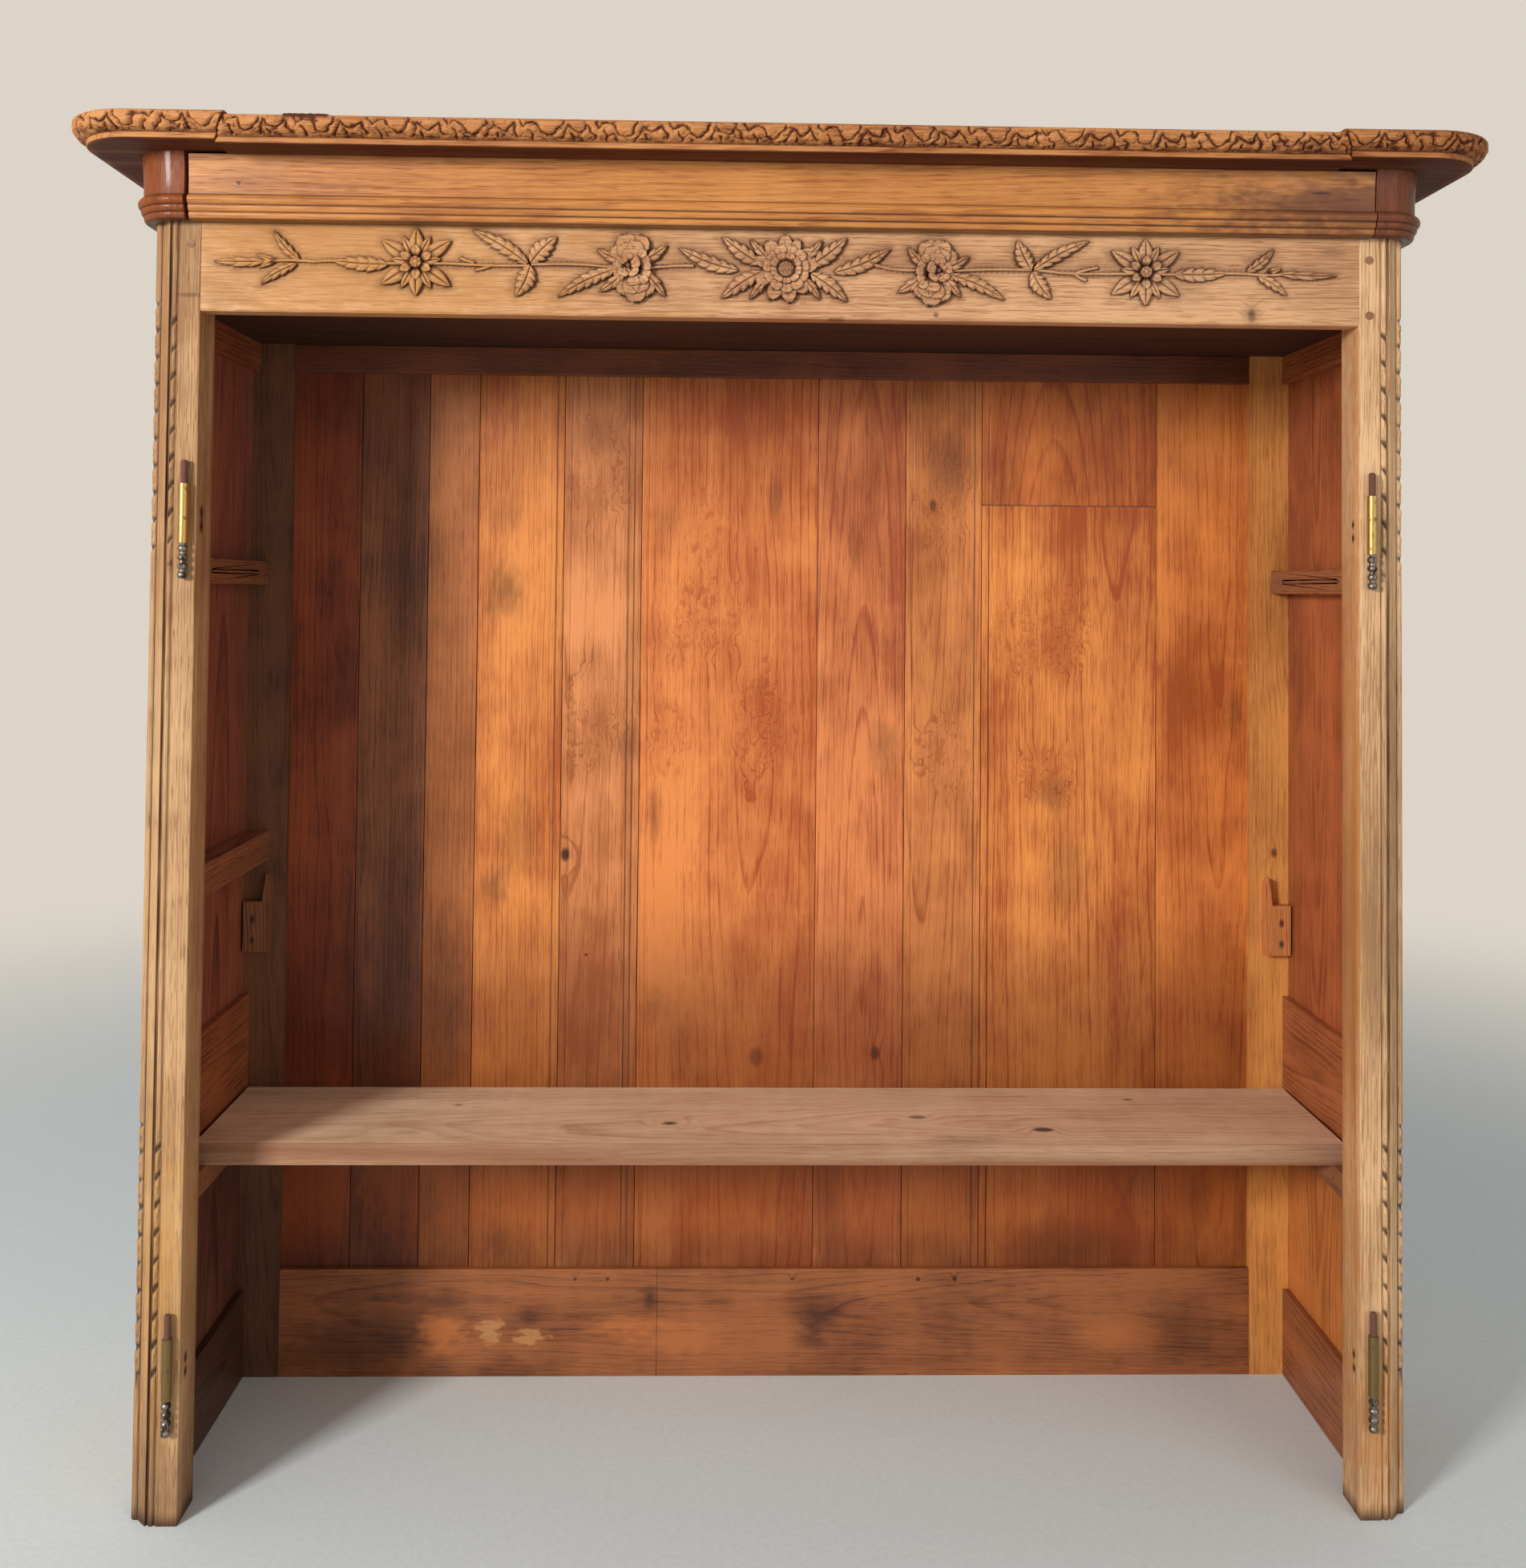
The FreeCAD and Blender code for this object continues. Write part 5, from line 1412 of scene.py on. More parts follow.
        # Dark in the cuts and creases and along the lower part of the pattern: painted shade with dirt;
        # lighter on the bosses and the top rim
        soil_and_shade = (0.75 + 0.5 * worn) * bell(away, 1.0 if away > 0 else 0.55) + 0.25 * fall
        soil_and_shade = soil_and_shade + 0.25 * leafy + 0.14 - 0.25 * swell + 0.3 * worn + 0.2 * fine
        soil_and_shade = soil_and_shade + 0.6 * crease + 0.25 * (1 - ease(up, 3.0, 14.0))
        soil_and_shade = soil_and_shade - 0.35 * ease(up, self.pattern_height - 5, self.pattern_height - 1)
        return depth * MM, min(1.0, max(0.0, soil_and_shade))

    def path(self, part: CrownPart) -> Run:
        """Lays out the inner edge of one length.

        Args:
            part: Which length.

        Returns:
            Its run.
        """
        low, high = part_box(part.node)
        across, front = Vector((1.0, 0.0, 0.0)), Vector((0.0, -1.0, 0.0))
        if part is CrownPart.FRONT:
            return Run(Vector((low.x, high.y, low.z)), across, front, high.x - low.x)
        hand = -1 if "left" in part.node else 1
        seam, outer = (low.x, high.x) if hand > 0 else (-high.x, -low.x)
        inner = outer - self.lip
        if "side" in part.node:
            return Run(Vector((hand * inner, low.y, low.z)), -front, across * hand, high.y - low.y)
        return Run(Vector((hand * seam, high.y, low.z)), across * hand, front, inner - seam, self.lip)

    def build(self, part: CrownPart) -> bmesh.types.BMesh:
        """Models one length of the crown.

        Args:
            part: Which length.

        Returns:
            The closed mesh.
        """
        run = self.path(part)
        draw = self.draw if part is CrownPart.FRONT else 0.0
        points = self.section(draw)
        stations = round(run.length / self.cell) + 1
        slopes = []
        for number in range(len(points)):
            before, after = points[number - 1], points[(number + 1) % len(points)]
            slopes.append(Vector((after[1] - before[1], before[0] - after[0])).normalized())

        def place(turn: int, station: int) -> tuple[Vector, float]:
            """Places a section point at a station."""
            reach, rise, up, dirt_and_shade = points[turn]
            share = station / (stations - 1)
            inner, out = run.at(share)
            if up >= 0:
                cut, dirt_and_shade = self.carve(part.start + share * run.length / MM, up)
                reach = min(reach - slopes[turn].x * cut, self.lip - draw)
                rise = rise - slopes[turn].y * cut
            spot = inner + out * reach + Vector((0.0, 0.0, rise))
            spot.x = spot.x + self.leaning(part, share, rise, run.length)
            if part is CrownPart.FRONT and rise > self.lip_rise + self.edge and reach > self.fillet:
                split = ease(spot.x, self.sliver[0] - 4 * MM, self.sliver[0])
                split = split * (1 - ease(spot.x, self.sliver[1], self.sliver[1] + 4 * MM))
                ragged = 0.7 + 0.3 * noise.noise(Vector((spot.x * 260, 0.0, 1.0)))
                spot.z = spot.z + self.sliver_height * split * ragged
                dirt_and_shade = max(dirt_and_shade, 0.9 * split)
            return spot, dirt_and_shade

        return Bar().sweep(len(points), stations, place)

    def leaning(self, part: CrownPart, share: float, rise: float, length: float) -> float:
        """Leans the seams between the front and the corners towards the middle at the top.

        Args:
            part: Which length.
            share: Place along it.
            rise: Height above the soffit.
            length: The whole length.

        Returns:
            How far a point moves across.
        """
        lean = self.seam_lean * (rise - self.lip_rise / 2)
        reach = self.seam_reach / length
        first, last = (max(0.0, 1 - away / reach) for away in (share, 1 - share))
        return lean * (part.leans[0] * first + part.leans[1] * last)

    def dress(self, finish: Wood) -> None:
        """Shows the carved lengths in place of the plain ones."""
        material = finish.material("carved_crown")
        for part in CrownPart:
            make_piece(part.node.replace("crown", "carved_crown"), self.build(part), material, "cornice",
                       (part.node,), 50.0)


# Plain joinery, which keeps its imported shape

@dataclass
class Joinery:
    """The boards, rails, panels and mouldings, with eased edges and a finish each."""

    ease_width: float = 0.9 * MM
    ease_angle: float = 34.0

    def soften(self, piece: bpy.types.Object, width: float) -> None:
        """Eases a piece's sharp edges.

        Args:
            piece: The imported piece.
            width: The width of the eased edge.
        """
        weld = piece.modifiers.new("joined", "WELD")
        weld.merge_threshold = 0.005 * MM
        bevel = piece.modifiers.new("eased", "BEVEL")
        bevel.width = width
        bevel.segments = 2
        bevel.limit_method = "ANGLE"
        bevel.angle_limit = math.radians(self.ease_angle)
        bevel.miter_outer = "MITER_ARC"
        piece.modifiers.new("shaded", "WEIGHTED_NORMAL").keep_sharp = True

    def dress(self, node: str, finish: Union[Wood, Metal], width: Optional[float] = None) -> None:
        """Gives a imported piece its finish.

        Args:
            node: The piece's name.
            finish: Its finish.
            width: The width of its eased edges, if not the usual one.
        """
        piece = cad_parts[node]
        piece.data.materials.clear()
        piece.data.materials.append(finish.material(node))
        self.soften(piece, self.ease_width if width is None else width)
        LOG.info("%s dressed", node)


KNOT, BURL, STAIN = MarkKind.KNOT, MarkKind.BURL, MarkKind.STAIN
CHIP, WORN = MarkKind.CHIP, MarkKind.WORN


@dataclass(frozen=True)
class Board:
    """One back board's tones and figure, with the pith and rings in millimetres."""

    light: str
    dark: str
    pith: Point
    ring: float = 8.0
    lean: float = 0.03
    sway: float = 12.0
    marks: tuple[Mark, ...] = ()
    beads: tuple[float, ...] = ()


BACK_BOARDS: dict[str, Board] = {
    # Boards 01 to 03 are darker partly in their own tone and partly as painted shade
    "back_board_01": Board("9c4c2c", "5c2818", (20, -40), 6.0, 0.015, 8),
    "back_board_02": Board("985a38", "58321f", (-50, -30), 5.0, 0.01, 8, (
        Mark(STAIN, 0.45, -0.45, 0.06, 0.5, 3.0),)),
    "back_board_03": Board("c57741", "8a4b24", (60, -25), 6.0, 0.012, 8, (
        Mark(STAIN, 0.42, -0.39, 0.05, 0.55, 2.4), Mark(STAIN, 0.20, -0.40, 0.05, 0.6, 1.6))),
    "back_board_04": Board("e38d46", "a35022", (75, -30), 6.5, 0.012, 9, (
        Mark(STAIN, 0.943, -0.324, 0.03, 0.75, 1.5), Mark(STAIN, 0.583, -0.34, 0.026, 0.6, 1.2),
        Mark(STAIN, 0.64, -0.307, 0.035, 0.35, 1.8), Mark(STAIN, 0.158, -0.327, 0.05, 0.7, 0.9),
        Mark(STAIN, 1.03, -0.335, 0.025, 0.3, 1.2)), (-0.266,)),
    "back_board_05": Board("e29057", "a25a2d", (-40, -45), 8.0, 0.025, 14, (
        Mark(BURL, 0.80, -0.205, 0.06, 1.0, 1.3), Mark(BURL, 1.08, -0.21, 0.05, 0.7, 2.0),
        Mark(KNOT, 0.622, -0.251, 0.008, 0.95), Mark(KNOT, 0.501, -0.224, 0.0035, 0.9, 1.0),
        Mark(STAIN, 0.76, -0.18, 0.03, 0.35, 1.2), Mark(STAIN, 1.13, -0.215, 0.04, 0.45, 0.8)),
        (-0.178, -0.171)),
    "back_board_06": Board("e68c4a", "a74d22", (30, -60), 9.0, 0.05, 20, (
        Mark(BURL, 1.02, -0.09, 0.06, 1.0, 1.2), Mark(BURL, 0.92, -0.09, 0.07, 1.0, 1.3),
        Mark(BURL, 0.757, -0.125, 0.05, 1.0, 1.2), Mark(BURL, 0.78, -0.02, 0.06, 0.8, 1.4),
        Mark(KNOT, 1.06, 0.0, 0.013, 0.35, 3.2), Mark(STAIN, 0.674, -0.145, 0.014, 0.5, 4.0),
        Mark(STAIN, 0.40, -0.10, 0.06, 0.35, 1.8), Mark(STAIN, 1.03, -0.13, 0.035, 0.4, 1.6),
        Mark(KNOT, 0.378, -0.016, 0.011, 0.5, 1.3), Mark(STAIN, 0.44, -0.14, 0.03, 0.5, 1.6))),
    "back_board_07": Board("df864c", "9d4b28", (5, -35), 8.5, 0.07, 16, (
        Mark(STAIN, 1.10, 0.125, 0.02, 0.35, 3.0), Mark(STAIN, 0.757, 0.14, 0.035, 0.5, 1.4),
        Mark(STAIN, 0.197, 0.075, 0.03, 0.55, 2.6), Mark(KNOT, 1.0, 0.10, 0.01, 0.2, 4.0),
        Mark(KNOT, 0.383, 0.129, 0.008, 0.75))),
    "back_board_08": Board("e18d4c", "9d5228", (-25, -40), 7.5, 0.03, 16, (
        Mark(BURL, 1.055, 0.20, 0.055, 1.0, 1.2), Mark(BURL, 0.747, 0.206, 0.055, 1.0, 1.2),
        Mark(KNOT, 1.052, 0.195, 0.007, 0.7), Mark(STAIN, 1.10, 0.21, 0.04, 0.5, 1.2)), (0.247,)),
    "back_board_09": Board("ee964a", "a84f22", (60, -55), 8.0, 0.03, 18, (
        Mark(BURL, 0.887, 0.30, 0.06, 1.0, 1.1), Mark(BURL, 0.90, 0.362, 0.04, 1.0, 1.6),
        Mark(BURL, 0.72, 0.334, 0.05, 1.0, 1.0), Mark(STAIN, 0.70, 0.34, 0.03, 0.45, 1.0),
        Mark(STAIN, 0.60, 0.36, 0.05, 0.4, 1.2), Mark(STAIN, 0.158, 0.366, 0.08, 0.7, 0.5)), (0.265,)),
    "back_board_09_upper": Board("e0803c", "9c4a20", (-20, -40), 8.0, 0.09, 10, (
        Mark(STAIN, 1.09, 0.28, 0.03, 0.35, 2.0),)),
    "back_board_10": Board("ea8c44", "a65022", (15, -45), 7.0, 0.03, 12, (
        Mark(CHIP, 0.862, 0.578, 0.006, 1.0, 1.8), Mark(STAIN, 0.797, 0.570, 0.02, 0.6, 2.4),
        Mark(STAIN, 0.205, 0.523, 0.025, 0.75, 3.0), Mark(STAIN, 0.19, 0.58, 0.015, 0.7, 5.0))),
}


@dataclass(frozen=True)
class FramePiece:
    """A post's or rail's tones, grain, marks and seams."""

    light: str
    dark: str
    grain: Grain
    marks: tuple[Mark, ...] = ()
    seams: tuple[tuple[int, float], ...] = ()


BACK_FRAME: dict[str, FramePiece] = {
    "back_bottom_rail": FramePiece("a05f36", "5c2f1b", Grain.LEVEL, (
        *(Mark(KNOT, x, 0.115, 0.004, 0.9, 1.0) for x in (-0.2315, -0.1925, 0.03, 0.182, 0.2265)),
        Mark(STAIN, -0.142, 0.094, 0.02, 0.9, 0.7), Mark(STAIN, 0.06, 0.072, 0.045, 0.8, 0.9),
        Mark(STAIN, 0.05, 0.045, 0.022, 0.7, 1.4), Mark(STAIN, -0.50, 0.05, 0.06, 0.5, 1.8),
        Mark(STAIN, 0.50, 0.06, 0.05, 0.4, 1.4), Mark(STAIN, -0.39, 0.088, 0.012, 0.5, 3.0),
        Mark(STAIN, -0.29, 0.068, 0.016, 0.5, 2.0), Mark(WORN, -0.39, 0.057, 0.026, 0.7, 1.1),
        Mark(WORN, -0.385, 0.032, 0.01, 0.55, 4.0), Mark(WORN, -0.175, 0.058, 0.018, 0.5, 2.8),
        Mark(WORN, -0.10, 0.05, 0.026, 0.35, 2.4), Mark(WORN, 0.43, 0.05, 0.02, 0.3, 3.0),
        Mark(CHIP, -0.332, 0.055, 0.022, 0.5, 0.8), Mark(CHIP, -0.286, 0.046, 0.014, 0.5, 2.0)),
        ((0, -0.133),)),
    # The top rail is darker as painted shade under the frieze
    "back_top_rail": FramePiece("7a4024", "482213", Grain.LEVEL),
    "back_post_left": FramePiece("7a4d31", "4a2c1d", Grain.UPRIGHT),
    "back_post_right": FramePiece("e0984e", "a3622e", Grain.UPRIGHT, (
        Mark(KNOT, 0.63, 0.616, 0.006, 0.75),)),
}


class CaseFinishes:
    """The finishes of the case, piece by piece."""

    rail_tones: tuple[str, str] = ("aa633a", "6b3820")
    cleat_tones: tuple[str, str] = ("9d6440", "5f3722")
    # The left pieces are darker as painted shade and the right ones lighter as painted light, copies of one
    # finish lit from the left front
    side_lit_and_shaded_tones: dict[str, tuple[str, str]] = {
        "side_upper_panel_left": ("a05c40", "623426"), "side_lower_panel_left": ("774632", "46281b"),
        "side_upper_panel_right": ("b5653a", "733820"), "side_lower_panel_right": ("cf7d40", "8f4e24"),
        "side_bottom_rail_left": ("5a3522", "321d14"), "side_bottom_rail_right": ("a8633a", "65361f"),
        "shelf_block_right": ("e29454", "ab6434"),
    }
    skin: Point = (0.636, 0.641)
    foot_height: float = 0.5
    block_nail_reach: float = 0.62
    block_nail_rises: Point = (0.522, 0.547)
    # Painted shade on the back boards: darker towards the shelf and under the top
    board_painted_shade_bands: tuple[Triple, ...] = ((0.62, 0.38, 0.6), (1.0, 1.2, 0.38))
    quirk_rises: Quad = (0.3, 7.0, 13.8, 24.8)
    oak_light: str = "ddb083"
    oak_dark: str = "a97a50"

    def foot(self, low: Vector, high: Vector) -> tuple[Mark, ...]:
        """Marks a board's foot.

        Args:
            low: The lower corner of the board's box.
            high: The upper corner.

        Returns:
            A rubbed place above a dark line, or nothing for a board that doesn't reach the floor.
        """
        if low.z > self.foot_height:
            return ()
        middle = (low.x + high.x) / 2
        wide = (high.x - low.x) * 0.9
        return (Mark(WORN, 0.225, middle, wide, 0.32, 0.11 / wide),
                Mark(STAIN, 0.135, middle, wide, 0.4, 0.045 / wide))

    def boards(self, joinery: Joinery) -> None:
        """Dresses the back boards, which are varnished in front and raw behind."""
        for number, (node, board) in enumerate(BACK_BOARDS.items()):
            low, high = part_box(node)
            middle = (low.x + high.x) / 2
            finish = Wood(board.light, board.dark, Grain.UPRIGHT, number * 1.37 + 0.5, board.ring * MM,
                          (middle + board.pith[0] * MM, low.y + board.pith[1] * MM), (0.0, board.lean),
                          board.sway * MM, contrast=0.52, mottle=0.42, fibre=0.34, pores=0.32, roughness=0.44,
                          shine=0.22, coat=0.08, raw=(low.y + 5 * MM, low.y + 8 * MM),
                          marks=board.marks + self.foot(low, high), stain=0.75,
                          seams=tuple((0, bead) for bead in board.beads), thin=0.68, patch=0.65,
                          depth=0.36, painted_shade_tone="56210a", worn_tone="b2561c", painted_shade_bands=self.board_painted_shade_bands)
            joinery.dress(node, finish, 0.6 * MM)

    def back_frame(self, joinery: Joinery) -> None:
        """Dresses the posts and rails of the back, which are raw behind."""
        for number, (node, piece) in enumerate(BACK_FRAME.items()):
            low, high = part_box(node)
            middle = (low + high) / 2
            across = middle.z if piece.grain is Grain.LEVEL else middle.x
            finish = Wood(piece.light, piece.dark, piece.grain, 31.0 + number, 4 * MM,
                          (across + 0.02, low.y - 0.05), contrast=0.34, coat=0.08, marks=piece.marks,
                          raw=(high.y - 9 * MM, high.y - 5 * MM), thin=0.5, patch=0.6,
                          seams=piece.seams, seam_width=0.9 * MM)
            joinery.dress(node, finish)

    def sides(self, joinery: Joinery) -> None:
        """Dresses the rails and panels of the sides, which are bare oak outside."""
        for number, (side, hand) in enumerate(SIDES):
            bare = {"raw": (hand * self.skin[0], hand * self.skin[1]),
                    "raw_light": self.oak_light, "raw_dark": self.oak_dark}
            for k, part in enumerate(("side_top_rail", "side_middle_rail", "side_bottom_rail")):
                node = f"{part}_{side}"
                low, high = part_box(node)
                tones = self.side_lit_and_shaded_tones.get(node, self.rail_tones)
                finish = Wood(*tones, Grain.SIDE_LEVEL, 41.0 + k * 2.3 + number, 3.6 * MM,
                              ((low.z + high.z) / 2, hand * 0.58), coat=0.1, patch=0.3, **bare)
                joinery.dress(node, finish)
            for k, part in enumerate(("side_upper_panel", "side_lower_panel")):
                node = f"{part}_{side}"
                low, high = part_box(node)
                finish = Wood(*self.side_lit_and_shaded_tones[node], Grain.SIDE_UPRIGHT, 51.0 + k * 3.1 + number, 4.6 * MM,
                              ((low.y + high.y) / 2 + 0.03, hand * 0.57), (0.0, 0.03), coat=0.12, patch=0.35,
                              **bare)
                joinery.dress(node, finish)

    def cleats(self, joinery: Joinery) -> None:
        """Dresses the cleats and the nailed shelf blocks."""
        for number, (side, hand) in enumerate(SIDES):
            for k, part in enumerate(("upper_cleat", "middle_cleat", "lower_cleat", "shelf_block")):
                node = f"{part}_{side}"
                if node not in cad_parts:
                    continue
                grain, nails = Grain.SIDE_LEVEL, ()
                if part == "shelf_block":
                    grain = Grain.UPRIGHT
                    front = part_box(node)[0].y
                    nails = tuple((hand * self.block_nail_reach, front, rise)
                                  for rise in self.block_nail_rises)
                tones = self.side_lit_and_shaded_tones.get(node, self.cleat_tones)
                finish = Wood(*tones, grain, 61.0 + k + 0.4 * number, 3 * MM, (0.0, hand * 0.55),
                              roughness=0.55, nails=nails)
                joinery.dress(node, finish)

    def hidden(self, joinery: Joinery) -> None:
        """Dresses the rough boards that close the top."""
        for number, node in enumerate(("ceiling_board_front", "ceiling_board_back", "dust_board_front",
                                       "dust_board_back", "cornice_back_rail")):
            low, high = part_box(node)
            # The ceiling boards are darker as painted shade under the top
            tones = ("4e2d1b", "2d1810") if "ceiling" in node else ("a98560", "6d4f37")
            finish = Wood(*tones, Grain.FLAT, 71.0 + number, 4.5 * MM, ((low.y + high.y) / 2, low.z - 0.05),
                          roughness=0.7)
            joinery.dress(node, finish)

    def cornice(self, joinery: Joinery) -> None:
        """Dresses the moulded frieze of the cornice."""
        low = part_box("frieze_moulding")[0]
        # Dark lines along the quirks: dust and painted shade in the grooves
        quirks = tuple((2, low.z + rise * MM) for rise in self.quirk_rises)
        front = Wood("ce8948", "8b4c20", Grain.LEVEL, 81.0, 4.2 * MM, (low.z - 0.02, low.y - 0.07),
                     (0.0, 0.02), 12 * MM, contrast=0.4, roughness=0.4, coat=0.1, patch=0.3,
                     marks=(Mark(KNOT, -0.5575, 1.3545, 0.0035, 0.9, 1.0),
                            Mark(STAIN, -0.55, 1.36, 0.03, 0.25, 1.6),
                            Mark(STAIN, 0.55, 1.35, 0.02, 0.4, 4.0),
                            Mark(WORN, 0.66, 1.345, 0.06, 0.75, 4.5),
                            Mark(KNOT, 0.553, 1.361, 0.0018, 0.9, 8.0)),
                     seams=quirks, worn_tone="60331f")
        joinery.dress("frieze_moulding", front, 0.5 * MM)
        for number, (side, hand) in enumerate(SIDES):
            tones = ("904818", "582608") if side == "left" else ("86482a", "532a18")
            block = Wood(*tones, Grain.UPRIGHT, 85.0 + number, 3 * MM, (hand * 0.55, -0.15), roughness=0.5,
                         shine=0.2, coat=0.12, coat_roughness=0.14, seams=quirks, patch=0.3)
            joinery.dress(f"frieze_corner_{side}", block, 0.5 * MM)
            plain = Wood("b9733f", "7d4324", Grain.SIDE_LEVEL, 88.0 + number, 4 * MM, (1.32, hand * 0.6),
                         coat=0.15, seams=quirks)
            joinery.dress(f"frieze_side_{side}", plain, 0.5 * MM)

    def shelf(self, joinery: Joinery) -> None:
        """Dresses the raw shelf plank with its small knots."""
        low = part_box("shelf")[0]
        knots = (Mark(KNOT, -0.36, 0.09, 0.011, 0.7), Mark(KNOT, -0.115, 0.03, 0.012, 0.9),
                 Mark(KNOT, 0.165, 0.05, 0.008, 0.6), Mark(KNOT, 0.30, 0.01, 0.009, 0.85),
                 Mark(KNOT, -0.40, 0.0, 0.02, 0.3, 2.4), Mark(KNOT, 0.42, 0.11, 0.008, 0.6),
                 Mark(STAIN, 0.20, -0.026, 0.02, 0.4, 4.0))
        # The band along the front edge is darker than the top: painted shade
        finish = Wood("e8c7a5", "b58a68", Grain.FLAT, 91.0, 4.5 * MM, (0.02, low.z - 0.06), (0.02, 0.03),
                      14 * MM, contrast=0.42, mottle=0.3, roughness=0.68, marks=knots, dirt_and_shade_tone="85502f",
                      seams=((1, low.y),), seam_width=3 * MM, patch=0.2)
        joinery.dress("shelf", finish, 1.4 * MM)


class HingeWork:
    """The brass hinge halves, their pins and the nails."""

    rust: tuple[Point, ...] = ((0.185, 0.220), (1.045, 1.080))
    nail_radius: float = 1.5 * MM
    nail_depth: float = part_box("hinge_nails")[0].y + nail_radius
    nail_reach: float = 0.6
    nail_rises: tuple[float, ...] = (0.146, 0.160, 1.006, 1.020)
    # The lower halves take a darker, duller copy of the brass: painted shade
    brass: tuple[tuple[str, Metal], ...] = (("upper", Metal("b8965a", "8a6a3a", 0.4, 0.4)),
                                            ("lower", Metal("86714a", "6c593a", 0.5, 0.5)))

    def dress(self, joinery: Joinery) -> None:
        """Gives the metal pieces their finishes."""
        for level, brass in self.brass:
            for side, _ in SIDES:
                joinery.dress(f"hinge_leaf_{level}_{side}", brass, 0.35 * MM)
        pins = Metal("8a8078", "33251d", 0.65, 0.36, rust=self.rust)
        joinery.dress("hinge_pins", pins, 0.3 * MM)
        for node in ("hinge_nails", "case_nails"):
            joinery.dress(node, Metal("6b625a", "33241b", 0.7, 0.5), 0.2 * MM)


class CarvingFinishes:
    """The finishes of the carved pieces and the pegs between them."""

    frieze = Wood("d8a577", "a5714c", Grain.LEVEL, 3.3, 4.4 * MM, (1.20, -0.17), (0.0, 0.02), 10 * MM,
                  contrast=0.5, mottle=0.45, pores=0.6, roughness=0.58, dirt_and_shade=0.95, dirt_and_shade_tone="4a2410",
                  thin=0.5, patch=0.35, worn_tone="b47a38", marks=(
                      Mark(KNOT, 0.487, 1.237, 0.014, 0.6, 0.6), Mark(STAIN, 0.157, 1.232, 0.004, 0.8, 1.0),
                      Mark(STAIN, 0.488, 1.239, 0.016, 0.6, 1.1), Mark(STAIN, 0.42, 1.262, 0.02, 0.2, 1.6),
                      Mark(STAIN, 0.57, 1.305, 0.014, 0.35, 2.0), Mark(WORN, -0.42, 1.275, 0.13, 0.65, 2.6),
                      Mark(STAIN, -0.58, 1.245, 0.03, 0.2, 2.0), Mark(STAIN, 0.39, 1.285, 0.05, 0.22, 1.6)))
    pegs = Wood("a27650", "6e4a30", Grain.FLAT, 7.7, 2 * MM, roughness=0.6)
    crown = Wood("c68650", "804520", Grain.LEVEL, 9.9, 3.8 * MM, (1.35, -0.28), (0.0, 0.02), 10 * MM,
                 roughness=0.58, shine=0.18, mottle=0.6, dirt_and_shade=0.95, dirt_and_shade_tone="401002", patch=0.4)
    stile_tones: dict[str, tuple[str, str]] = {"left": ("c49a6c", "946841"), "right": ("e4b888", "ab7d53")}
    stile_worn: dict[str, str] = {"left": "c99450", "right": "c67c38"}
    stile_marks: dict[str, tuple[Mark, ...]] = {
        "left": (Mark(STAIN, 0.0, -0.615, 0.06, 0.4, 1.6), Mark(STAIN, 1.243, -0.612, 0.014, 0.5, 0.2),
                 Mark(STAIN, 1.30, -0.61, 0.03, 0.2, 2.0), Mark(WORN, 0.26, -0.62, 0.035, 0.5, 5.0)),
        "right": (Mark(STAIN, 0.0, 0.615, 0.06, 0.2, 1.6), Mark(STAIN, 0.6, 0.62, 0.025, 0.2, 9.0),
                  Mark(STAIN, 1.0, 0.625, 0.018, 0.3, 4.0), Mark(WORN, 0.08, 0.62, 0.035, 0.4, 4.0),
                  Mark(WORN, 0.65, 0.6, 0.0016, 0.55, 600.0)),
    }

    def stile(self, side: str, hand: int) -> Wood:
        """Makes a stile's finish.

        Args:
            side: The stile's name.
            hand: -1 for the left stile, 1 for the right one.

        Returns:
            The finish.
        """
        nails = tuple((hand * HingeWork.nail_reach, HingeWork.nail_depth, rise)
                      for rise in HingeWork.nail_rises)
        return Wood(*self.stile_tones[side], Grain.UPRIGHT, 5.1 + hand, 3.0 * MM, (hand * 0.56, -0.15),
                    (0.01, 0.015), 8 * MM, contrast=0.5, mottle=0.75, fibre=0.42, pores=0.6, roughness=0.6,
                    dirt_and_shade=0.9, marks=self.stile_marks[side], patch=0.5, worn_tone=self.stile_worn[side],
                    nails=nails)


# Studio

@dataclass(frozen=True)
class Lamp:
    """A square soft lamp: its place, the point that it faces, its width and its power in watts."""

    name: str
    place: Triple
    aim: Triple
    size: float
    power: float


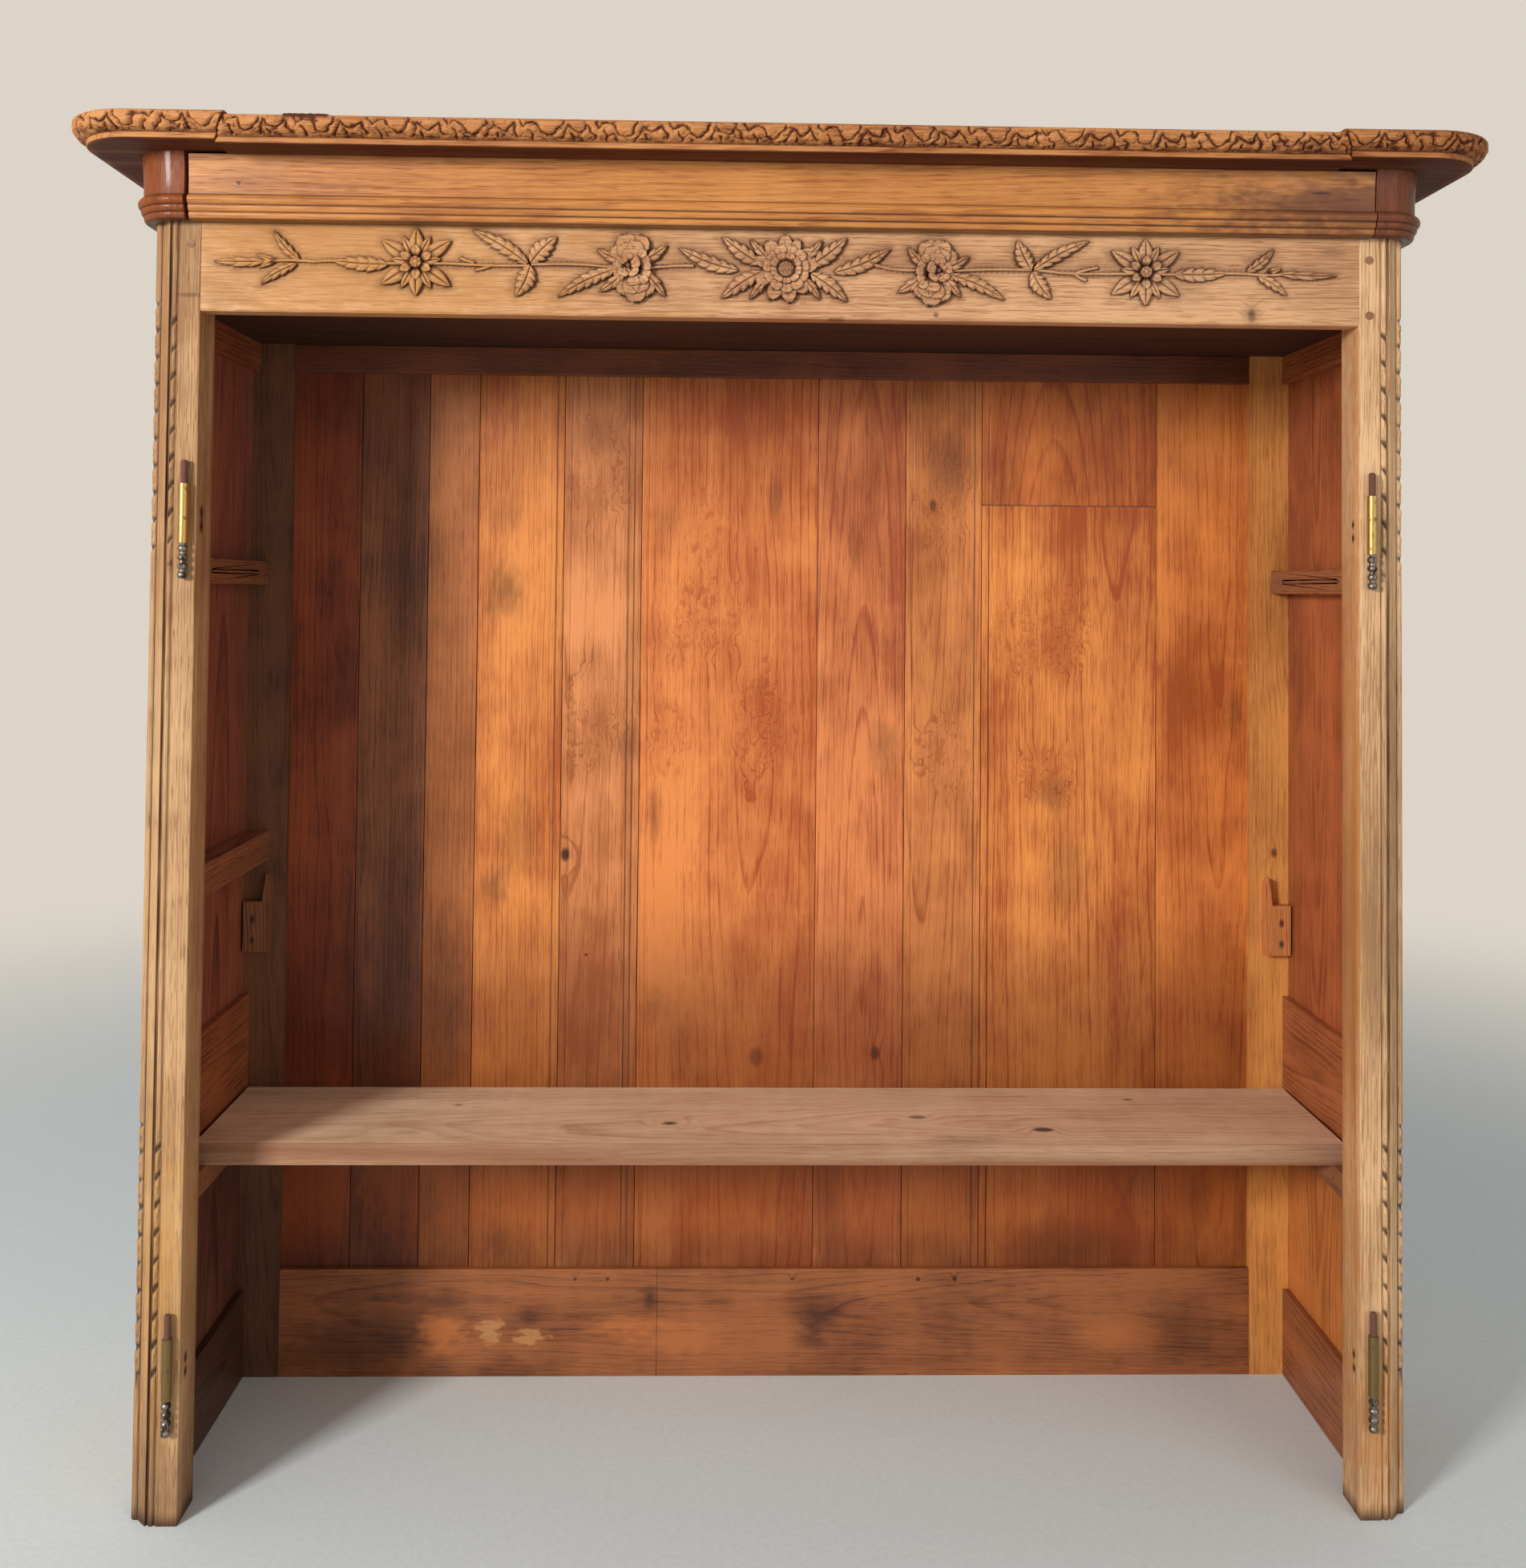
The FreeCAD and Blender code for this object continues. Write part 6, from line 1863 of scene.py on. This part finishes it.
@dataclass
class Studio:
    """Camera, lamps, floor and background."""

    eye: Triple = (-0.057, -1.688, 0.944)
    yaw: float = -1.34
    pitch: float = 1.55
    roll: float = -0.53
    focal_pixels: float = 1900.0
    photo_height: float = 1957.0
    axis_row: float = 687.0
    sensor: float = 36.0
    floor_size: float = 12.0
    floor_fade: Point = (1.3, 3.6)
    floor_tone: str = "dce2e1"
    fleck_tone: str = "a8a39b"
    wall_tone: str = "dcd4c8"
    sky_level: float = 0.54
    lamps: tuple[Lamp, ...] = (Lamp("key", (-2.4, -2.8, 1.75), (0.0, 0.0, 0.8), 0.7, 118.0),
                               Lamp("fill", (2.2, -2.8, 1.3), (0.0, 0.0, 0.7), 1.8, 18.0))

    def camera(self) -> None:
        """Sets the camera at the photograph's viewpoint."""
        data = bpy.data.cameras.new("camera")
        data.sensor_width = self.sensor
        data.lens = self.focal_pixels * self.sensor / self.photo_height
        data.shift_y = (self.axis_row - self.photo_height / 2) / self.photo_height
        camera = bpy.data.objects.new("camera", data)
        turn = Matrix.Rotation(math.radians(self.yaw), 4, "Z")
        turn = turn @ Matrix.Rotation(math.radians(self.pitch), 4, "X")
        turn = turn @ Matrix.Rotation(math.radians(self.roll), 4, "Y")
        turn = turn @ Matrix.Rotation(math.pi / 2, 4, "X")
        camera.matrix_world = Matrix.Translation(Vector(self.eye)) @ turn
        bpy.context.scene.collection.objects.link(camera)
        bpy.context.scene.camera = camera

    def hang(self, lamp: Lamp) -> None:
        """Adds a lamp."""
        data = bpy.data.lights.new(lamp.name, "AREA")
        data.size = lamp.size
        data.energy = lamp.power
        piece = bpy.data.objects.new(lamp.name, data)
        piece.location = lamp.place
        ahead = Vector(lamp.aim) - Vector(lamp.place)
        piece.rotation_euler = ahead.to_track_quat("-Z", "Y").to_euler()
        bpy.context.scene.collection.objects.link(piece)

    def floor(self) -> None:
        """Lays the pale floor."""
        mesh = bmesh.new()
        bmesh.ops.create_grid(mesh, x_segments=1, y_segments=1, size=self.floor_size / 2)
        data = bpy.data.meshes.new("floor")
        mesh.to_mesh(data)
        mesh.free()
        paint = Paint(bpy.data.materials.new("floor"))
        laid = paint.laid(Grain.FLAT, 0.0)
        fleck = paint.streaks(laid, Waves.FLECK)
        tone = paint.mix(fleck * 0.14, tint(self.floor_tone), tint(self.fleck_tone))
        cloth = paint.node("ShaderNodeBsdfDiffuse", sockets={"Color": tone})
        clear = paint.node("ShaderNodeBsdfTransparent")
        reach = (laid.across * laid.across + laid.along * laid.along) ** 0.5
        fade = paint.step(reach, *self.floor_fade)
        shader = paint.node("ShaderNodeMixShader", sockets={0: fade, 1: cloth, 2: clear})
        paint.end(shader, "ShaderNodeOutputMaterial")
        data.materials.append(paint.owner)
        floor = bpy.data.objects.new("floor", data)
        bpy.context.scene.collection.objects.link(floor)

    def world(self) -> None:
        """Fills the surroundings with plain soft light and a pale background."""
        paint = Paint(bpy.data.worlds.new("studio"))
        bpy.context.scene.world = paint.owner
        glow = paint.node("ShaderNodeBackground", sockets={"Strength": self.sky_level})
        wall = paint.node("ShaderNodeBackground", sockets={"Color": tint(self.wall_tone)})
        seen = paint.node("ShaderNodeLightPath", out="Is Camera Ray")
        either = paint.math("MAXIMUM", seen, seen.other("Is Glossy Ray"))
        choice = paint.node("ShaderNodeMixShader", sockets={0: either, 1: glow, 2: wall})
        paint.end(choice, "ShaderNodeOutputWorld")

    def build(self) -> None:
        """Sets up the whole studio."""
        self.camera()
        self.floor()
        self.world()
        for lamp in self.lamps:
            self.hang(lamp)
        bpy.context.scene.view_settings.view_transform = "Standard"


def main() -> None:
    """Builds the studio and the pieces in order; each carved piece logs its face count."""
    logging.basicConfig(level=logging.INFO, format="%(relativeCreated)6d ms  %(message)s")
    Studio().build()
    joinery = Joinery()
    finishes = CaseFinishes()
    finishes.boards(joinery)
    finishes.back_frame(joinery)
    finishes.sides(joinery)
    finishes.cleats(joinery)
    finishes.hidden(joinery)
    finishes.cornice(joinery)
    finishes.shelf(joinery)
    HingeWork().dress(joinery)
    carving = CarvingFinishes()
    CarvedFrieze().dress(carving.frieze)
    for side, hand in SIDES:
        CarvedStile(side, hand).dress(carving.stile(side, hand))
    joinery.dress("draw_pegs", carving.pegs, 0.3 * MM)
    CarvedCrown().dress(carving.crown)


if __name__ == "__main__":
    main()
